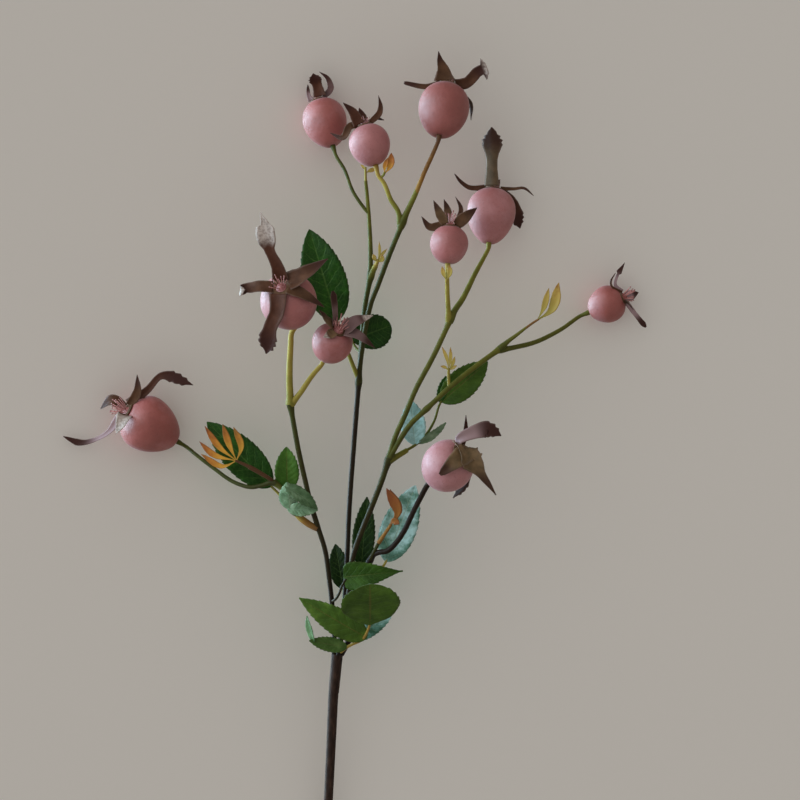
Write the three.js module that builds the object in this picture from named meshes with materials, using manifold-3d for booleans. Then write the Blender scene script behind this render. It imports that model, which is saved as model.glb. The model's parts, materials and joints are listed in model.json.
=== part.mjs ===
import * as THREE from 'three';
import { mergeVertices } from 'three/addons/utils/BufferGeometryUtils.js';
import Module from 'manifold-3d';

// A sprig of rose hips that lies on z = 0, in millimetres, +Z up, its stem along +Y.
// Plan places are counted on a squared sheet: columns run along +X, rows along -Y.
const square = 0.4;
const middleColumn = 354;
const middleRow = 481.5;

const gap = 0.3;
const bladeThickness = 0.7;
const stalkDepth = 2;
const stemRadius = 1.6;
const headRadius = 2.3;
const rootRadius = 0.95;
const branchRadius = 1.05;
const twigRadius = 0.85;
const stalkRadius = 0.75;
const petioleRadius = 0.65;
const ringHeight = 1.1;
const bossRadius = 1.7;
const stamenCount = 6;
const stamenLength = 4;

const colours = {
  stem: 0x3d2f2a,
  branch: 0x5a5a2c,
  hip: 0xc07a80,
  calyx: 0x6f5b51,
  leaf: 0x35652c,
  underside: 0x6f9d8c,
  shoot: 0xd48a2c,
  bract: 0xb9b14a,
};

const wasm = await Module();
wasm.setup();
const { Manifold } = wasm;
const group = new THREE.Group();

function at([column, row, height]) {
  return new THREE.Vector3((column - middleColumn) * square, (middleRow - row) * square, height);
}

function route(places) {
  return places.map(at);
}

function solidOf(geometry) {
  const bare = new THREE.BufferGeometry();
  bare.setAttribute('position', geometry.getAttribute('position'));
  bare.setIndex(geometry.getIndex());
  const welded = mergeVertices(bare, 1e-4);
  const index = welded.getIndex().array;
  const corners = [];
  for (let i = 0; i < index.length; i += 3) {
    const [a, b, c] = [index[i], index[i + 1], index[i + 2]];
    if (a !== b && b !== c && c !== a) corners.push(a, b, c);
  }
  return new Manifold(new wasm.Mesh({
    numProp: 3,
    vertProperties: Float32Array.from(welded.getAttribute('position').array),
    triVerts: Uint32Array.from(corners),
  }));
}

function fuse(solids) {
  return solids.reduce((whole, solid) => whole.add(solid));
}

function addNode(name, solid, colour, roughness) {
  const mesh = solid.getMesh();
  const geometry = new THREE.BufferGeometry();
  geometry.setAttribute('position', new THREE.BufferAttribute(mesh.vertProperties, 3));
  geometry.setIndex(new THREE.BufferAttribute(mesh.triVerts, 1));
  const material = new THREE.MeshStandardMaterial({ color: colour, roughness, metalness: 0 });
  const node = new THREE.Mesh(geometry, material);
  node.name = name;
  group.add(node);
}

// A round shoot along a smooth line. Clearance makes it wider and longer on all sides.
function tube(points, startRadius, endRadius, clearance = 0, sides = 6, pitch = 10.5) {
  const curve = new THREE.CatmullRomCurve3(points, false, 'centripetal');
  const steps = Math.max(2, Math.round(curve.getLength() / pitch));
  const frames = curve.computeFrenetFrames(steps);
  const geometry = new THREE.CylinderGeometry(1, 1, 1, sides, steps);
  const places = geometry.getAttribute('position');
  for (let i = 0; i < places.count; i += 1) {
    const step = Math.round((places.getY(i) + 0.5) * steps);
    const along = step / steps;
    const radius = clearance + THREE.MathUtils.lerp(startRadius, endRadius, along);
    const overrun = (along === 1 ? clearance : 0) - (along === 0 ? clearance : 0);
    const spot = curve.getPointAt(along)
      .addScaledVector(frames.tangents[step], overrun)
      .addScaledVector(frames.binormals[step], places.getX(i) * radius)
      .addScaledVector(frames.normals[step], places.getZ(i) * radius);
    places.setXYZ(i, spot.x, spot.y, spot.z);
  }
  return solidOf(geometry);
}

// A thin blade from stations along its midrib, both faces cut into the same triangles.
// The places across run from -1 at the left edge to 1 at the right edge.
function loft(stations, cup, thickness, places) {
  const corners = [];
  const faces = [];
  const row = places.length;
  stations.forEach(({ spot, right, up, half }) => {
    [thickness / 2, -thickness / 2].forEach((level) => {
      places.forEach((place) => {
        const lift = level + Math.abs(place) * cup * half;
        const corner = spot.clone().addScaledVector(right, place * half).addScaledVector(up, lift);
        corners.push(corner.x, corner.y, corner.z);
      });
    });
  });
  const upper = (station, place) => 2 * row * station + place;
  const lower = (station, place) => upper(station, place) + row;
  const last = stations.length - 1;
  for (let i = 0; i < last; i += 1) {
    const j = i + 1;
    for (let left = 0; left + 1 < row; left += 1) {
      const right = left + 1;
      faces.push(upper(i, left), upper(i, right), upper(j, right));
      faces.push(upper(i, left), upper(j, right), upper(j, left));
      faces.push(lower(i, left), lower(j, right), lower(i, right));
      faces.push(lower(i, left), lower(j, left), lower(j, right));
    }
    const end = row - 1;
    faces.push(upper(i, 0), upper(j, 0), lower(i, 0), upper(j, 0), lower(j, 0), lower(i, 0));
    faces.push(upper(i, end), lower(i, end), upper(j, end), upper(j, end), lower(i, end), lower(j, end));
  }
  for (let left = 0; left + 1 < row; left += 1) {
    const right = left + 1;
    faces.push(upper(0, left), lower(0, left), upper(0, right));
    faces.push(lower(0, left), lower(0, right), upper(0, right));
    faces.push(upper(last, left), upper(last, right), lower(last, left));
    faces.push(lower(last, left), upper(last, right), lower(last, right));
  }
  const geometry = new THREE.BufferGeometry();
  geometry.setAttribute('position', new THREE.Float32BufferAttribute(corners, 3));
  geometry.setIndex(faces);
  return solidOf(geometry);
}

function blade(path, across, outline, cup = 0, places = [-1, 1]) {
  const stations = outline.map(([along, half]) => {
    const spot = path.getPointAt(along);
    const forward = path.getTangentAt(along);
    const right = across.clone().addScaledVector(forward, -across.dot(forward)).normalize();
    return { spot, right, up: right.clone().cross(forward), half };
  });
  return loft(stations, cup, bladeThickness, places);
}

// Half widths of a leaflet with teeth that point forward, widest at the given share of its length.
function toothedOutline(width, teeth, widest) {
  const fullness = 1.48;
  const bulge = (along) => (along / widest) ** (fullness * widest)
    * ((1 - along) / (1 - widest)) ** (fullness * (1 - widest));
  const rows = [[0, 0.45]];
  for (let tooth = 0; tooth < teeth; tooth += 1) {
    const point = (tooth + 0.72) / teeth;
    rows.push([point, Math.max(0.4, 0.5 * width * bulge(point))]);
    const notch = (tooth + 1) / teeth;
    if (tooth + 1 < teeth) rows.push([notch, 0.44 * width * bulge(notch)]);
  }
  rows.push([1, 0.25]);
  return rows;
}

function leaflet(leaf) {
  const { base, tip, width, face = [0, 0, 1], arch = 0.1, cup = 0.2, teeth = 6, widest = 0.42 } = leaf;
  const start = at(base);
  const end = at(tip);
  const run = end.clone().sub(start);
  const across = run.clone().cross(new THREE.Vector3(...face)).normalize();
  const lift = across.clone().cross(run).normalize();
  const middle = start.clone().lerp(end, 0.5).addScaledVector(lift, arch * run.length());
  const path = new THREE.QuadraticBezierCurve3(start, middle, end);
  return blade(path, across, toothedOutline(width, teeth, widest), cup, [-1, 0, 1]);
}

// Outlines of sepals and young blades: place along the length, share of the full width.
const outlines = {
  lance: [[0, 0.8], [0.35, 1], [0.72, 0.6], [1, 0.1]],
  star: [[0, 1], [0.4, 0.82], [0.72, 0.48], [1, 0.08]],
  strap: [[0, 0.8], [0.3, 0.56], [0.58, 0.58], [0.72, 1], [0.79, 0.78], [0.87, 0.95], [1, 0.14]],
  broad: [[0, 0.85], [0.35, 0.72], [0.6, 0.74], [0.72, 1], [0.79, 0.8], [0.87, 0.94], [1, 0.14]],
  band: [[0, 0.9], [0.5, 0.84], [0.86, 1], [1, 0.4]],
  ribbon: [[0, 1], [0.4, 0.88], [0.8, 0.72], [1, 0.5]],
  hammer: [[0, 0.4], [0.4, 0.42], [0.84, 0.4], [0.91, 1], [1, 0.8]],
  thread: [[0, 1], [0.3, 0.68], [0.7, 0.52], [1, 0.14]],
  arrow: [[0, 0.9], [0.4, 0.5], [0.62, 0.45], [0.68, 1], [1, 0.14]],
  young: [[0, 0.25], [0.3, 0.62], [0.6, 1], [1, 0.14]],
};

function scaledOutline(kind, width) {
  return outlines[kind].map(([along, share]) => [along, Math.max(0.25, 0.5 * width * share)]);
}

function youngBlade(places, width) {
  const points = route(places);
  const run = points[points.length - 1].clone().sub(points[0]);
  const across = run.cross(new THREE.Vector3(0, 0, 1)).normalize();
  return blade(new THREE.CatmullRomCurve3(points), across, scaledOutline('young', width));
}

// Hips: place of the middle, greatest width, length, direction from the stalk to the crown, how much
// narrower the stalk end is, and the length of straight stalk before it.
// Sepals: places on the way to the tip, with heights above the crown's middle. A sepal turns its
// inner face to the crown, or to the side that it names.
const hips = {
  top_left: {
    middle: [325, 121, 8.94], across: 17.8, length: 21, axis: [-0.29, 0.91, -0.28], narrow: 0.14,
    rests: true,
    sepals: [
      { path: [[314, 85, 2], [309, 73.5, 4]], width: 5.4, kind: 'strap', face: [0, -0.4, 1] },
      { path: [[330, 88, 1], [326.5, 77, 2], [318.5, 70.7, 2]], width: 2.2, kind: 'lance',
        face: [0, -0.4, 1] },
      { path: [[307, 94, 0], [306.5, 83.5, 1]], width: 2.2, kind: 'thread' },
      { path: [[320, 86, -1.5], [320.5, 79, -1]], width: 3, kind: 'lance' },
    ],
  },
  top_mid: {
    middle: [370, 145, 29], across: 16.4, length: 17.6, axis: [-0.26, 0.95, -0.15], narrow: 0.1,
    sepals: [
      { path: [[353, 112, 2], [343, 102.5, 3]], width: 5, kind: 'star', face: [0.2, -0.3, 1] },
      { path: [[379, 113, 0], [380.5, 106, 1], [378.4, 95, 1]], width: 2.6, kind: 'lance',
        face: [0, -0.3, 1] },
      { path: [[350, 126, 1.5], [343, 137, 1], [330, 132.5, -1]], width: 3, kind: 'lance', face: [0, 0, 1] },
      { path: [[361, 113, -3], [359, 107, -3]], width: 4, kind: 'lance' },
      { path: [[372, 118, -4], [384, 119, -6]], width: 3.4, kind: 'lance' },
    ],
  },
  top_right: {
    middle: [443.5, 110, 27], across: 20.4, length: 24, axis: [0.15, 0.89, -0.42], narrow: 0.12,
    sepals: [
      { path: [[442, 68, 2], [439, 50.7, 4]], width: 7.4, kind: 'star' },
      { path: [[467, 81.5, 0.5], [479, 70, 2], [487.5, 67, 3]], width: 9.6, kind: 'hammer',
        face: [0, -0.2, 1] },
      { path: [[426, 85.5, -0.5], [404, 81.5, -1]], width: 2.6, kind: 'ribbon', face: [0, 0, 1] },
      { path: [[461, 93, -3.8], [470.5, 102.5, -5.4], [471.5, 118.5, -8]], width: 2.8, kind: 'lance' },
      { path: [[451, 78, -6], [454, 76, -10]], width: 4, kind: 'lance' },
    ],
  },
  right_large: {
    middle: [491.5, 215.5, 17], across: 19.6, length: 23.6, axis: [0.08, 0.95, -0.3], narrow: 0.2,
    sepals: [
      { path: [[492, 160, 2], [492, 126, 5]], width: 8.6, kind: 'strap' },
      { path: [[470, 186, -0.5], [461, 180, 0], [455, 172.5, 0.6]], width: 3, kind: 'thread',
        face: [0, -0.2, 1] },
      { path: [[515, 187.5, 0], [525, 187, 0.6], [534.5, 194.6, 1]], width: 2, kind: 'thread',
        face: [0, 0, 1] },
      { path: [[510, 199, -2], [520, 227, -5]], width: 5.6, kind: 'strap' },
      { path: [[497, 179, -5], [500, 179, -9]], width: 4, kind: 'lance' },
    ],
  },
  right_small: {
    middle: [449, 245, 34], across: 15.3, length: 16, axis: [0.06, 0.99, -0.1], narrow: 0.08,
    sepals: [
      { path: [[430, 227, 0.5], [421.4, 216.5, 1]], width: 3.4, kind: 'lance', face: [0.2, 0, 1] },
      { path: [[439.5, 213, 3], [433.5, 200.7, 4]], width: 3.8, kind: 'lance', face: [0, -0.3, 1] },
      { path: [[448, 212, -3.4], [444, 199, -3]], width: 3.6, kind: 'lance', face: [0, -0.3, 1] },
      { path: [[464, 218, 1.5], [477, 208, 3]], width: 5, kind: 'lance', face: [0, -0.3, 1] },
      { path: [[461, 209, -2], [455.5, 196.6, -2]], width: 2.2, kind: 'lance', face: [0, -0.3, 1] },
    ],
  },
  mid_left_large: {
    middle: [290, 303, 50], across: 22.5, length: 24, axis: [-0.27, 0.5, 0.82], narrow: 0.1,
    approach: 2.5,
    sepals: [
      { path: [[276, 266, 1], [268, 250, 2.4], [266, 232, 4.4], [263, 215, 6]], width: 8, kind: 'strap' },
      { path: [[306, 275, 0.5], [328.5, 260, -2]], width: 8.6, kind: 'star' },
      { path: [[305, 296, 1.6], [325, 308, -1]], width: 5.4, kind: 'star' },
      { path: [[279, 311, 1.2], [272, 328, -1.6], [267, 354, -8]], width: 8, kind: 'broad' },
      { path: [[262, 288, -0.6], [242, 291, -2.6]], width: 5.8, kind: 'ribbon' },
    ],
  },
  mid_left_small: {
    middle: [332, 344, 44], across: 16.3, length: 17, axis: [0.33, 0.66, 0.67], narrow: 0.1,
    sepals: [
      { path: [[335, 312, 2], [333, 292, 4]], width: 3.6, kind: 'band' },
      { path: [[357, 322, -0.5], [373, 316, -3]], width: 4.8, kind: 'lance' },
      { path: [[358, 336, 0], [375, 348, -5]], width: 4.2, kind: 'lance' },
      { path: [[328, 321, 2], [320, 310, 4]], width: 4, kind: 'lance' },
      { path: [[331, 335, 3], [325, 339, 4.2]], width: 3.4, kind: 'lance' },
    ],
  },
  far_right: {
    middle: [608, 304, 6.9], across: 15, length: 15.5, axis: [0.9, 0.39, 0.17], narrow: 0.14,
    rests: true,
    sepals: [
      { path: [[617, 284, 1], [618.5, 276, 1.5], [626.5, 261.5, 2]], width: 2.4, kind: 'arrow',
        face: [0, 0, 1] },
      { path: [[613, 285, 3], [612.5, 280, 3.6], [617, 272, 4]], width: 1.4, kind: 'thread',
        face: [0, 0, 1] },
      { path: [[634, 294, -2.6], [640.7, 291.5, -2]], width: 4.6, kind: 'lance' },
      { path: [[636, 312, 0], [648, 326.5, -3]], width: 2, kind: 'thread', face: [0, 0, 1] },
      { path: [[630, 303, 3], [635, 309, 3]], width: 2.4, kind: 'lance' },
    ],
  },
  left: {
    middle: [149.5, 426.5, 10.07], across: 22.6, length: 25, axis: [-0.83, 0.49, 0.27], narrow: 0.24,
    rests: true,
    sepals: [
      { path: [[103, 436, -5], [78, 443, -9], [60, 436.6, -9]], width: 3.8, kind: 'thread', face: [0, 0, 1] },
      { path: [[110, 400, -3], [98, 409, -6]], width: 5, kind: 'lance', face: [-0.4, 0.2, 1] },
      { path: [[136, 392, 4], [136, 374.4, 5]], width: 3.8, kind: 'lance', face: [-0.2, -0.4, 1] },
      { path: [[146, 390, 1.6], [161, 375.5, 3], [192, 385, 4]], width: 5, kind: 'strap', face: [0, 0, 1] },
      { path: [[123, 422, 5], [120, 434.6, 5.5]], width: 4, kind: 'lance' },
    ],
  },
  low_right: {
    middle: [447, 466, 44], across: 20.6, length: 22, axis: [0.56, 0.53, 0.64], narrow: 0.06,
    approach: 2.5,
    sepals: [
      { path: [[464, 436, 1], [465.5, 415, 2]], width: 4, kind: 'star' },
      { path: [[459.5, 438.5, 2.4], [470, 434, 3], [486, 430, 2], [500.5, 435.5, 0.6]], width: 6.2,
        kind: 'strap' },
      { path: [[453, 461, 5], [439.5, 474, 4.6]], width: 8, kind: 'star' },
      { path: [[477, 468, 0.6], [495.5, 494.5, -5]], width: 8, kind: 'star' },
      { path: [[473.5, 461, -7.5], [466, 480, -12.7], [453, 498, -15.5]], width: 5.6, kind: 'strap' },
    ],
  },
};

Object.values(hips).forEach((hip) => {
  hip.direction = new THREE.Vector3(...hip.axis).normalize();
  hip.base = at(hip.middle).addScaledVector(hip.direction, -hip.length / 2);
  hip.crown = at(hip.middle).addScaledVector(hip.direction, hip.length / 2);
  hip.turn = new THREE.Quaternion().setFromUnitVectors(new THREE.Vector3(0, 1, 0), hip.direction);
  hip.crownRadius = 0.2 * hip.across;
});

// The last, straight length of a stalk, from just below its hip into the hip's hole.
function stalkEnd({ base, direction, approach = 4 }) {
  return [-approach, -1, stalkDepth].map((along) => base.clone().addScaledVector(direction, along));
}

// Stems: each run is a line of places with its radius at the start and at the end.
const headRoot = [[334, 656, 20], [337, 656, 18.6], [338, 656, 21.4], [341, 656, 19.7]];
const stems = {
  main_stem: [
    [[[322, 912, 2.2], [325, 850, 5], [328, 800, 8], [331, 740, 13], [333.5, 690, 17], [336, 664, 19.4]],
      stemRadius, 2.05],
    [[[333.5, 694, 16.7], [335.5, 672, 18.6], [337, 655, 20]], 2.05, headRadius],
  ],
  left_branch: [
    [[headRoot[0], [334, 632, 21.4], [332, 606, 22.3], [328.5, 575, 23.8], [325, 551, 25.5], [318, 528, 27],
      [311, 505, 29], [305, 480, 30], [298, 448, 32.5], [290.5, 405, 35]], rootRadius, branchRadius],
    [[[290.5, 405, 35], [289.5, 375, 35], [290.8, 345, 35.6], [291.8, 333, 36]],
      branchRadius, stalkRadius, 'mid_left_large'],
    [[[290.5, 405, 35], [300, 393.5, 35.5], [312, 376, 35.4]], branchRadius, stalkRadius, 'mid_left_small'],
    [[[317.5, 529, 27], [309, 524.5, 26.6], [297, 515, 26], [288, 503, 25], [282, 490, 24], [273, 482, 23]],
      1.2, twigRadius],
    [[[276, 484, 23.4], [271, 482.5, 22.8], [262, 485.5, 21.8], [250, 487.5, 20], [232, 482, 16.5],
      [213, 469, 13], [195, 455.5, 9.6]], twigRadius, stalkRadius, 'left'],
  ],
  centre_branch: [
    [[headRoot[1], [341.5, 632, 18], [344, 605, 18.3], [345.5, 580, 19], [347, 556, 19.5], [349, 510, 20],
      [354, 440, 21], [358, 390, 22], [361, 350, 22], [365, 305, 22], [370, 278, 22]],
    rootRadius, branchRadius],
    [[[370, 278, 22], [370.5, 255, 21.5], [369, 220, 20], [367, 195, 20], [365.5, 180, 20.5]],
      branchRadius, 0.7],
    [[[370, 279, 22], [372.5, 272, 22.8], [375.5, 265.5, 23.6]], branchRadius, branchRadius],
    [[[368, 212, 20], [364.5, 208, 19.8], [353, 191, 18.5], [344, 168, 15]], 0.7, 0.7, 'top_left'],
    [[[357, 381, 22], [360.5, 358, 23.2], [365, 330, 25], [371, 303, 26.5], [378, 285, 27.4],
      [388.5, 257, 28.8], [402, 224, 30]], branchRadius, branchRadius],
    [[[400, 228, 29.8], [406, 214, 30.6], [415, 195, 31.6], [425, 171, 32.8], [432, 156, 33.6]],
      1.3, stalkRadius, 'top_right'],
    [[[401, 226, 29.9], [398, 211, 30.4], [391, 200, 30.6], [384, 183, 30.9]],
      branchRadius, stalkRadius, 'top_mid'],
  ],
  right_branch: [
    [[headRoot[2], [342, 634, 23.5], [346.5, 608, 25.3], [350, 583, 27], [353, 557, 28.7], [361, 533, 30.3],
      [370, 511, 31.8], [382, 480, 33.2], [389, 458, 33.8]], rootRadius, 1.2],
    [[[388, 461, 33.7], [394, 440, 33.4], [405, 415, 32.3], [416, 389, 31.4], [433, 357, 30],
      [447, 327, 28.8], [451, 317, 28.3]], branchRadius, branchRadius],
    [[[449, 322, 28.5], [455, 310, 27.8], [462.5, 299, 26.8], [475, 274, 24]],
      1.3, stalkRadius, 'right_large'],
    [[[449, 322, 28.5], [448, 305, 30.5], [447.3, 290, 33]], branchRadius, stalkRadius, 'right_small'],
    [[[388, 461, 33.7], [396, 446.5, 34], [410, 425, 34], [427, 408.6, 33.4], [453, 384.5, 31.8],
      [481, 362.5, 28.5], [502, 347.5, 25.5]], branchRadius, branchRadius],
    [[[499, 350, 25.8], [514, 347.4, 23.5], [536.5, 341.6, 18.6], [562, 329, 11]],
      branchRadius, stalkRadius, 'far_right'],
    [[[499, 350, 25.8], [508, 341.5, 26.2], [518, 334, 27], [527, 327, 27.6]], branchRadius, 0.7],
    [[[388, 461, 33.7], [397.5, 456, 31.6], [407, 450.3, 29.5]], 1.3, 1],
  ],
  low_branch: [
    [[headRoot[3], [349, 640, 20.4], [354, 620, 22], [359, 600, 24], [365, 578, 26.5], [369, 563, 28.5],
      [373.5, 555, 30.3], [379, 552.3, 32], [387, 551, 33.8], [395, 544, 35.2], [404, 531, 36.3],
      [413, 511, 36.9], [418, 496, 36.4]], rootRadius, stalkRadius, 'low_right'],
    [[[369, 563, 28.5], [373, 554, 31], [378, 544, 33.4]], twigRadius, 0.7],
  ],
};

function stemSolid(runs, clearance = 0) {
  return fuse(runs.map(([places, startRadius, endRadius, hipName]) => {
    const points = route(places);
    if (hipName) points.push(...stalkEnd(hips[hipName]));
    return tube(points, startRadius, endRadius, clearance);
  }));
}

const mainClearance = stemSolid(stems.main_stem, gap);
const branchNames = ['left_branch', 'centre_branch', 'right_branch', 'low_branch'];
const branchClearance = fuse(branchNames.map((name) => stemSolid(stems[name], gap)));
const stemClearance = branchClearance.add(mainClearance);

addNode('main_stem', stemSolid(stems.main_stem), colours.stem, 0.6);
branchNames.forEach((name) => {
  addNode(name, stemSolid(stems[name]).subtract(mainClearance), colours.branch, 0.55);
});

// The fleshy egg of a hip, narrower towards its stalk, cut flat at the crown.
function eggSolid(hip, clearance = 0) {
  const radius = hip.across / 2 + clearance;
  const length = hip.length + 2 * clearance;
  const { narrow } = hip;
  const profile = [];
  const rings = 7;
  const stop = Math.PI * (1 - 0.145);
  for (let ring = 0; ring <= rings; ring += 1) {
    const angle = stop * ring / rings;
    const swell = Math.sin(angle) * (1 - narrow * Math.cos(angle)) / (1 + 0.5 * narrow * narrow);
    profile.push(new THREE.Vector2(ring ? radius * swell : 0, length * (1 - Math.cos(angle)) / 2));
  }
  profile.push(new THREE.Vector2(0, length * (1 - Math.cos(stop)) / 2));
  const geometry = new THREE.LatheGeometry(profile, 12);
  geometry.applyQuaternion(hip.turn);
  const { x, y, z } = hip.base.clone().addScaledVector(hip.direction, -clearance);
  geometry.translate(x, y, z);
  return solidOf(geometry);
}

function placeOnCrown(geometry, hip, height) {
  geometry.translate(0, height, 0);
  geometry.applyQuaternion(hip.turn);
  const { x, y, z } = hip.crown;
  geometry.translate(x, y, z);
  return solidOf(geometry);
}

// A low boss with the dried stamens that stand on it.
function stamenSolids(hip) {
  const solids = [placeOnCrown(new THREE.CylinderGeometry(1.3, bossRadius, 3.6, 6), hip, -0.4)];
  for (let stamen = 0; stamen < stamenCount; stamen += 1) {
    const needle = new THREE.ConeGeometry(0.45, stamenLength, 3);
    needle.translate(0, stamenLength / 2, 0);
    needle.rotateX(stamen ? 0.3 : 0);
    needle.translate(0, 0, stamen ? 0.7 : 0);
    needle.rotateY(stamen * 2 * Math.PI / (stamenCount - 1));
    solids.push(placeOnCrown(needle, hip, 0.8));
  }
  return solids;
}

// The ring round the boss, with its sepals.
function calyxSolid(hip) {
  const outer = hip.crownRadius;
  const inner = bossRadius + gap;
  const low = new THREE.Vector2(inner, 0);
  const profile = [low, new THREE.Vector2(outer, 0), new THREE.Vector2(outer, ringHeight),
    new THREE.Vector2(inner, ringHeight), low.clone()];
  const solids = [placeOnCrown(new THREE.LatheGeometry(profile, 7), hip, -0.4)];
  hip.sepals.forEach(({ path: places, width, kind, face }) => {
    const points = places.map(([column, row, height]) => at([column, row, height + hip.crown.z]));
    const outward = points[0].clone().sub(hip.crown);
    outward.addScaledVector(hip.direction, -outward.dot(hip.direction)).normalize();
    const root = hip.crown.clone()
      .addScaledVector(hip.direction, 0.2)
      .addScaledVector(outward, (inner + outer) / 2);
    const path = new THREE.CatmullRomCurve3([root, ...points], false, 'centripetal');
    const run = points[points.length - 1].clone().sub(root);
    const across = face ? run.cross(new THREE.Vector3(...face)) : outward.clone().cross(hip.direction);
    solids.push(blade(path, across.normalize(), scaledOutline(kind, width)));
  });
  return fuse(solids);
}

Object.entries(hips).forEach(([name, hip]) => {
  const stamens = fuse(stamenSolids(hip));
  let fruit = eggSolid(hip).add(stamens).subtract(branchClearance);
  if (hip.rests) fruit = fruit.trimByPlane([0, 0, 1], 0);
  const calyx = calyxSolid(hip).subtract(eggSolid(hip, gap));
  addNode(`hip_${name}`, fruit, colours.hip, 0.4);
  addNode(`calyx_${name}`, calyx, colours.calyx, 0.75);
});

// Leaves: leaflets and the stalks that carry them.
const leaves = {
  leaf_centre_left: {
    colour: colours.leaf,
    stalks: [[[358, 378, 22], [350, 358, 24.5], [342, 335, 26], [336, 318, 26.5]]],
    leaflets: [{ base: [337, 321, 26.4], tip: [309, 229, 27], width: 18.5, arch: 0.08, teeth: 7 }],
  },
  leaf_centre_right: {
    colour: colours.leaf,
    stalks: [[[361, 352, 22], [356, 348, 18.6], [352, 341, 16.2]]],
    leaflets: [{ base: [351, 340, 16], tip: [392, 324, 15], width: 14, arch: 0.08, teeth: 5 }],
  },
  leaf_left: {
    colour: colours.leaf,
    stalks: [[[295, 513, 25.8], [289, 508, 22.5], [282.5, 499, 20], [270.5, 486.5, 18.3]],
      [[283, 500, 20], [286, 495, 20.5], [287, 489, 21]]],
    leaflets: [
      { base: [271, 487, 18.3], tip: [206, 422, 17], width: 15.4, arch: 0.06, teeth: 6 },
      { base: [287, 491, 20.8], tip: [286, 447, 22], width: 10.2, arch: 0.08, teeth: 5 },
    ],
  },
  leaf_left_folded: {
    colour: colours.underside,
    stalks: [[[298, 516, 26], [293, 514, 28.5], [288.5, 510, 30]]],
    leaflets: [
      { base: [290, 510, 30.1], tip: [287, 482, 32.4], width: 8, cup: -0.4, teeth: 4 },
      { base: [287.5, 509, 30], tip: [318, 510, 31.6], width: 5.6, cup: 0.35, teeth: 4 },
      { base: [285, 485.5, 32], tip: [317.5, 509, 31.8], width: 4.2, face: [0.4, 0.3, 1], teeth: 4 },
    ],
  },
  leaf_right: {
    colour: colours.leaf,
    stalks: [[[389, 459, 33.6], [398, 455, 31.5], [407, 450, 29.5], [416, 444.5, 27.8], [427, 433.5, 26.4],
      [434.5, 420.5, 25.6], [439, 406, 25], [444, 396, 24.8]]],
    leaflets: [
      { base: [441, 404, 25], tip: [488, 364.5, 24], width: 13, arch: 0.08, teeth: 5 },
      { base: [415, 445, 28], tip: [411, 400, 27], width: 10.4, arch: 0.06, teeth: 5 },
      { base: [418, 443.5, 27.6], tip: [446, 422.5, 28.6], width: 4.6, face: [0.6, -0.6, 0.8], teeth: 4 },
      { base: [439.5, 402, 25], tip: [446, 376, 24.4], width: 4, teeth: 3 },
    ],
  },
  leaf_low: {
    colour: colours.underside,
    stalks: [[[369, 564, 28.4], [376, 568, 26.5], [385, 567, 25.4], [391, 560, 25]]],
    leaflets: [{ base: [390, 562.5, 25.1], tip: [416.5, 485.5, 26], width: 15.4, arch: 0.08, teeth: 5 }],
  },
  leaf_mid: {
    colour: colours.leaf,
    stalks: [[[331.5, 602, 22.4], [335, 600, 26], [339, 594, 29.5], [342, 586, 30.9], [346, 579, 31.2]]],
    leaflets: [
      { base: [343, 579, 30.8], tip: [403, 571, 31.6], width: 11, arch: 0.1, teeth: 5, widest: 0.24 },
    ],
  },
  leaf_mid_left: {
    colour: colours.leaf,
    stalks: [[[343.7, 608, 18.3], [343, 602, 15.4], [343, 592, 14.2], [342.5, 588, 14]]],
    leaflets: [{ base: [342.5, 590, 14], tip: [335, 545, 13], width: 8.4, teeth: 5 }],
  },
  leaf_mid_right: {
    colour: colours.leaf,
    stalks: [[[346, 572, 19.2], [354, 571, 21.6], [362, 566, 23.4]]],
    leaflets: [{ base: [361, 568, 23.3], tip: [367, 497, 25], width: 9.4, teeth: 5 }],
  },
  leaf_base: {
    colour: colours.leaf,
    stalks: [[[340.5, 653, 22], [343, 651, 23], [346.5, 648, 24.4], [352, 645, 25.6], [362, 640, 28],
      [367, 632, 31], [370.5, 622, 33.5]]],
    leaflets: [
      { base: [370, 625, 33], tip: [370, 583, 47], width: 25, face: [0.1, -0.5, 0.8], arch: 0.06,
        teeth: 5, widest: 0.62 },
      { base: [364, 637.5, 28.4], tip: [299, 598, 29.5], width: 11, face: [0.1, -0.2, 1], teeth: 5 },
      { base: [347, 648, 24.8], tip: [309, 641, 27.5], width: 6.2, arch: 0.1, teeth: 5 },
      { base: [314, 643, 27], tip: [307, 616, 30], width: 4.4, face: [-0.8, 0, 0.6], arch: 0.05, teeth: 3 },
    ],
  },
  leaf_base_back: {
    colour: colours.underside,
    stalks: [[[337, 656, 19], [343, 650, 15.2], [351, 642.5, 13.2]]],
    leaflets: [{ base: [350, 643, 13.2], tip: [393, 613, 12.5], width: 8.6, teeth: 5 }],
  },
};

Object.entries(leaves).forEach(([name, { colour, stalks, leaflets }]) => {
  const stalkSolids = stalks.map((places) => tube(route(places), petioleRadius, 0.55, 0, 5, 8));
  const whole = fuse([...stalkSolids, ...leaflets.map(leaflet)]);
  addNode(name, whole.subtract(stemClearance), colour, 0.5);
});

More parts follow.
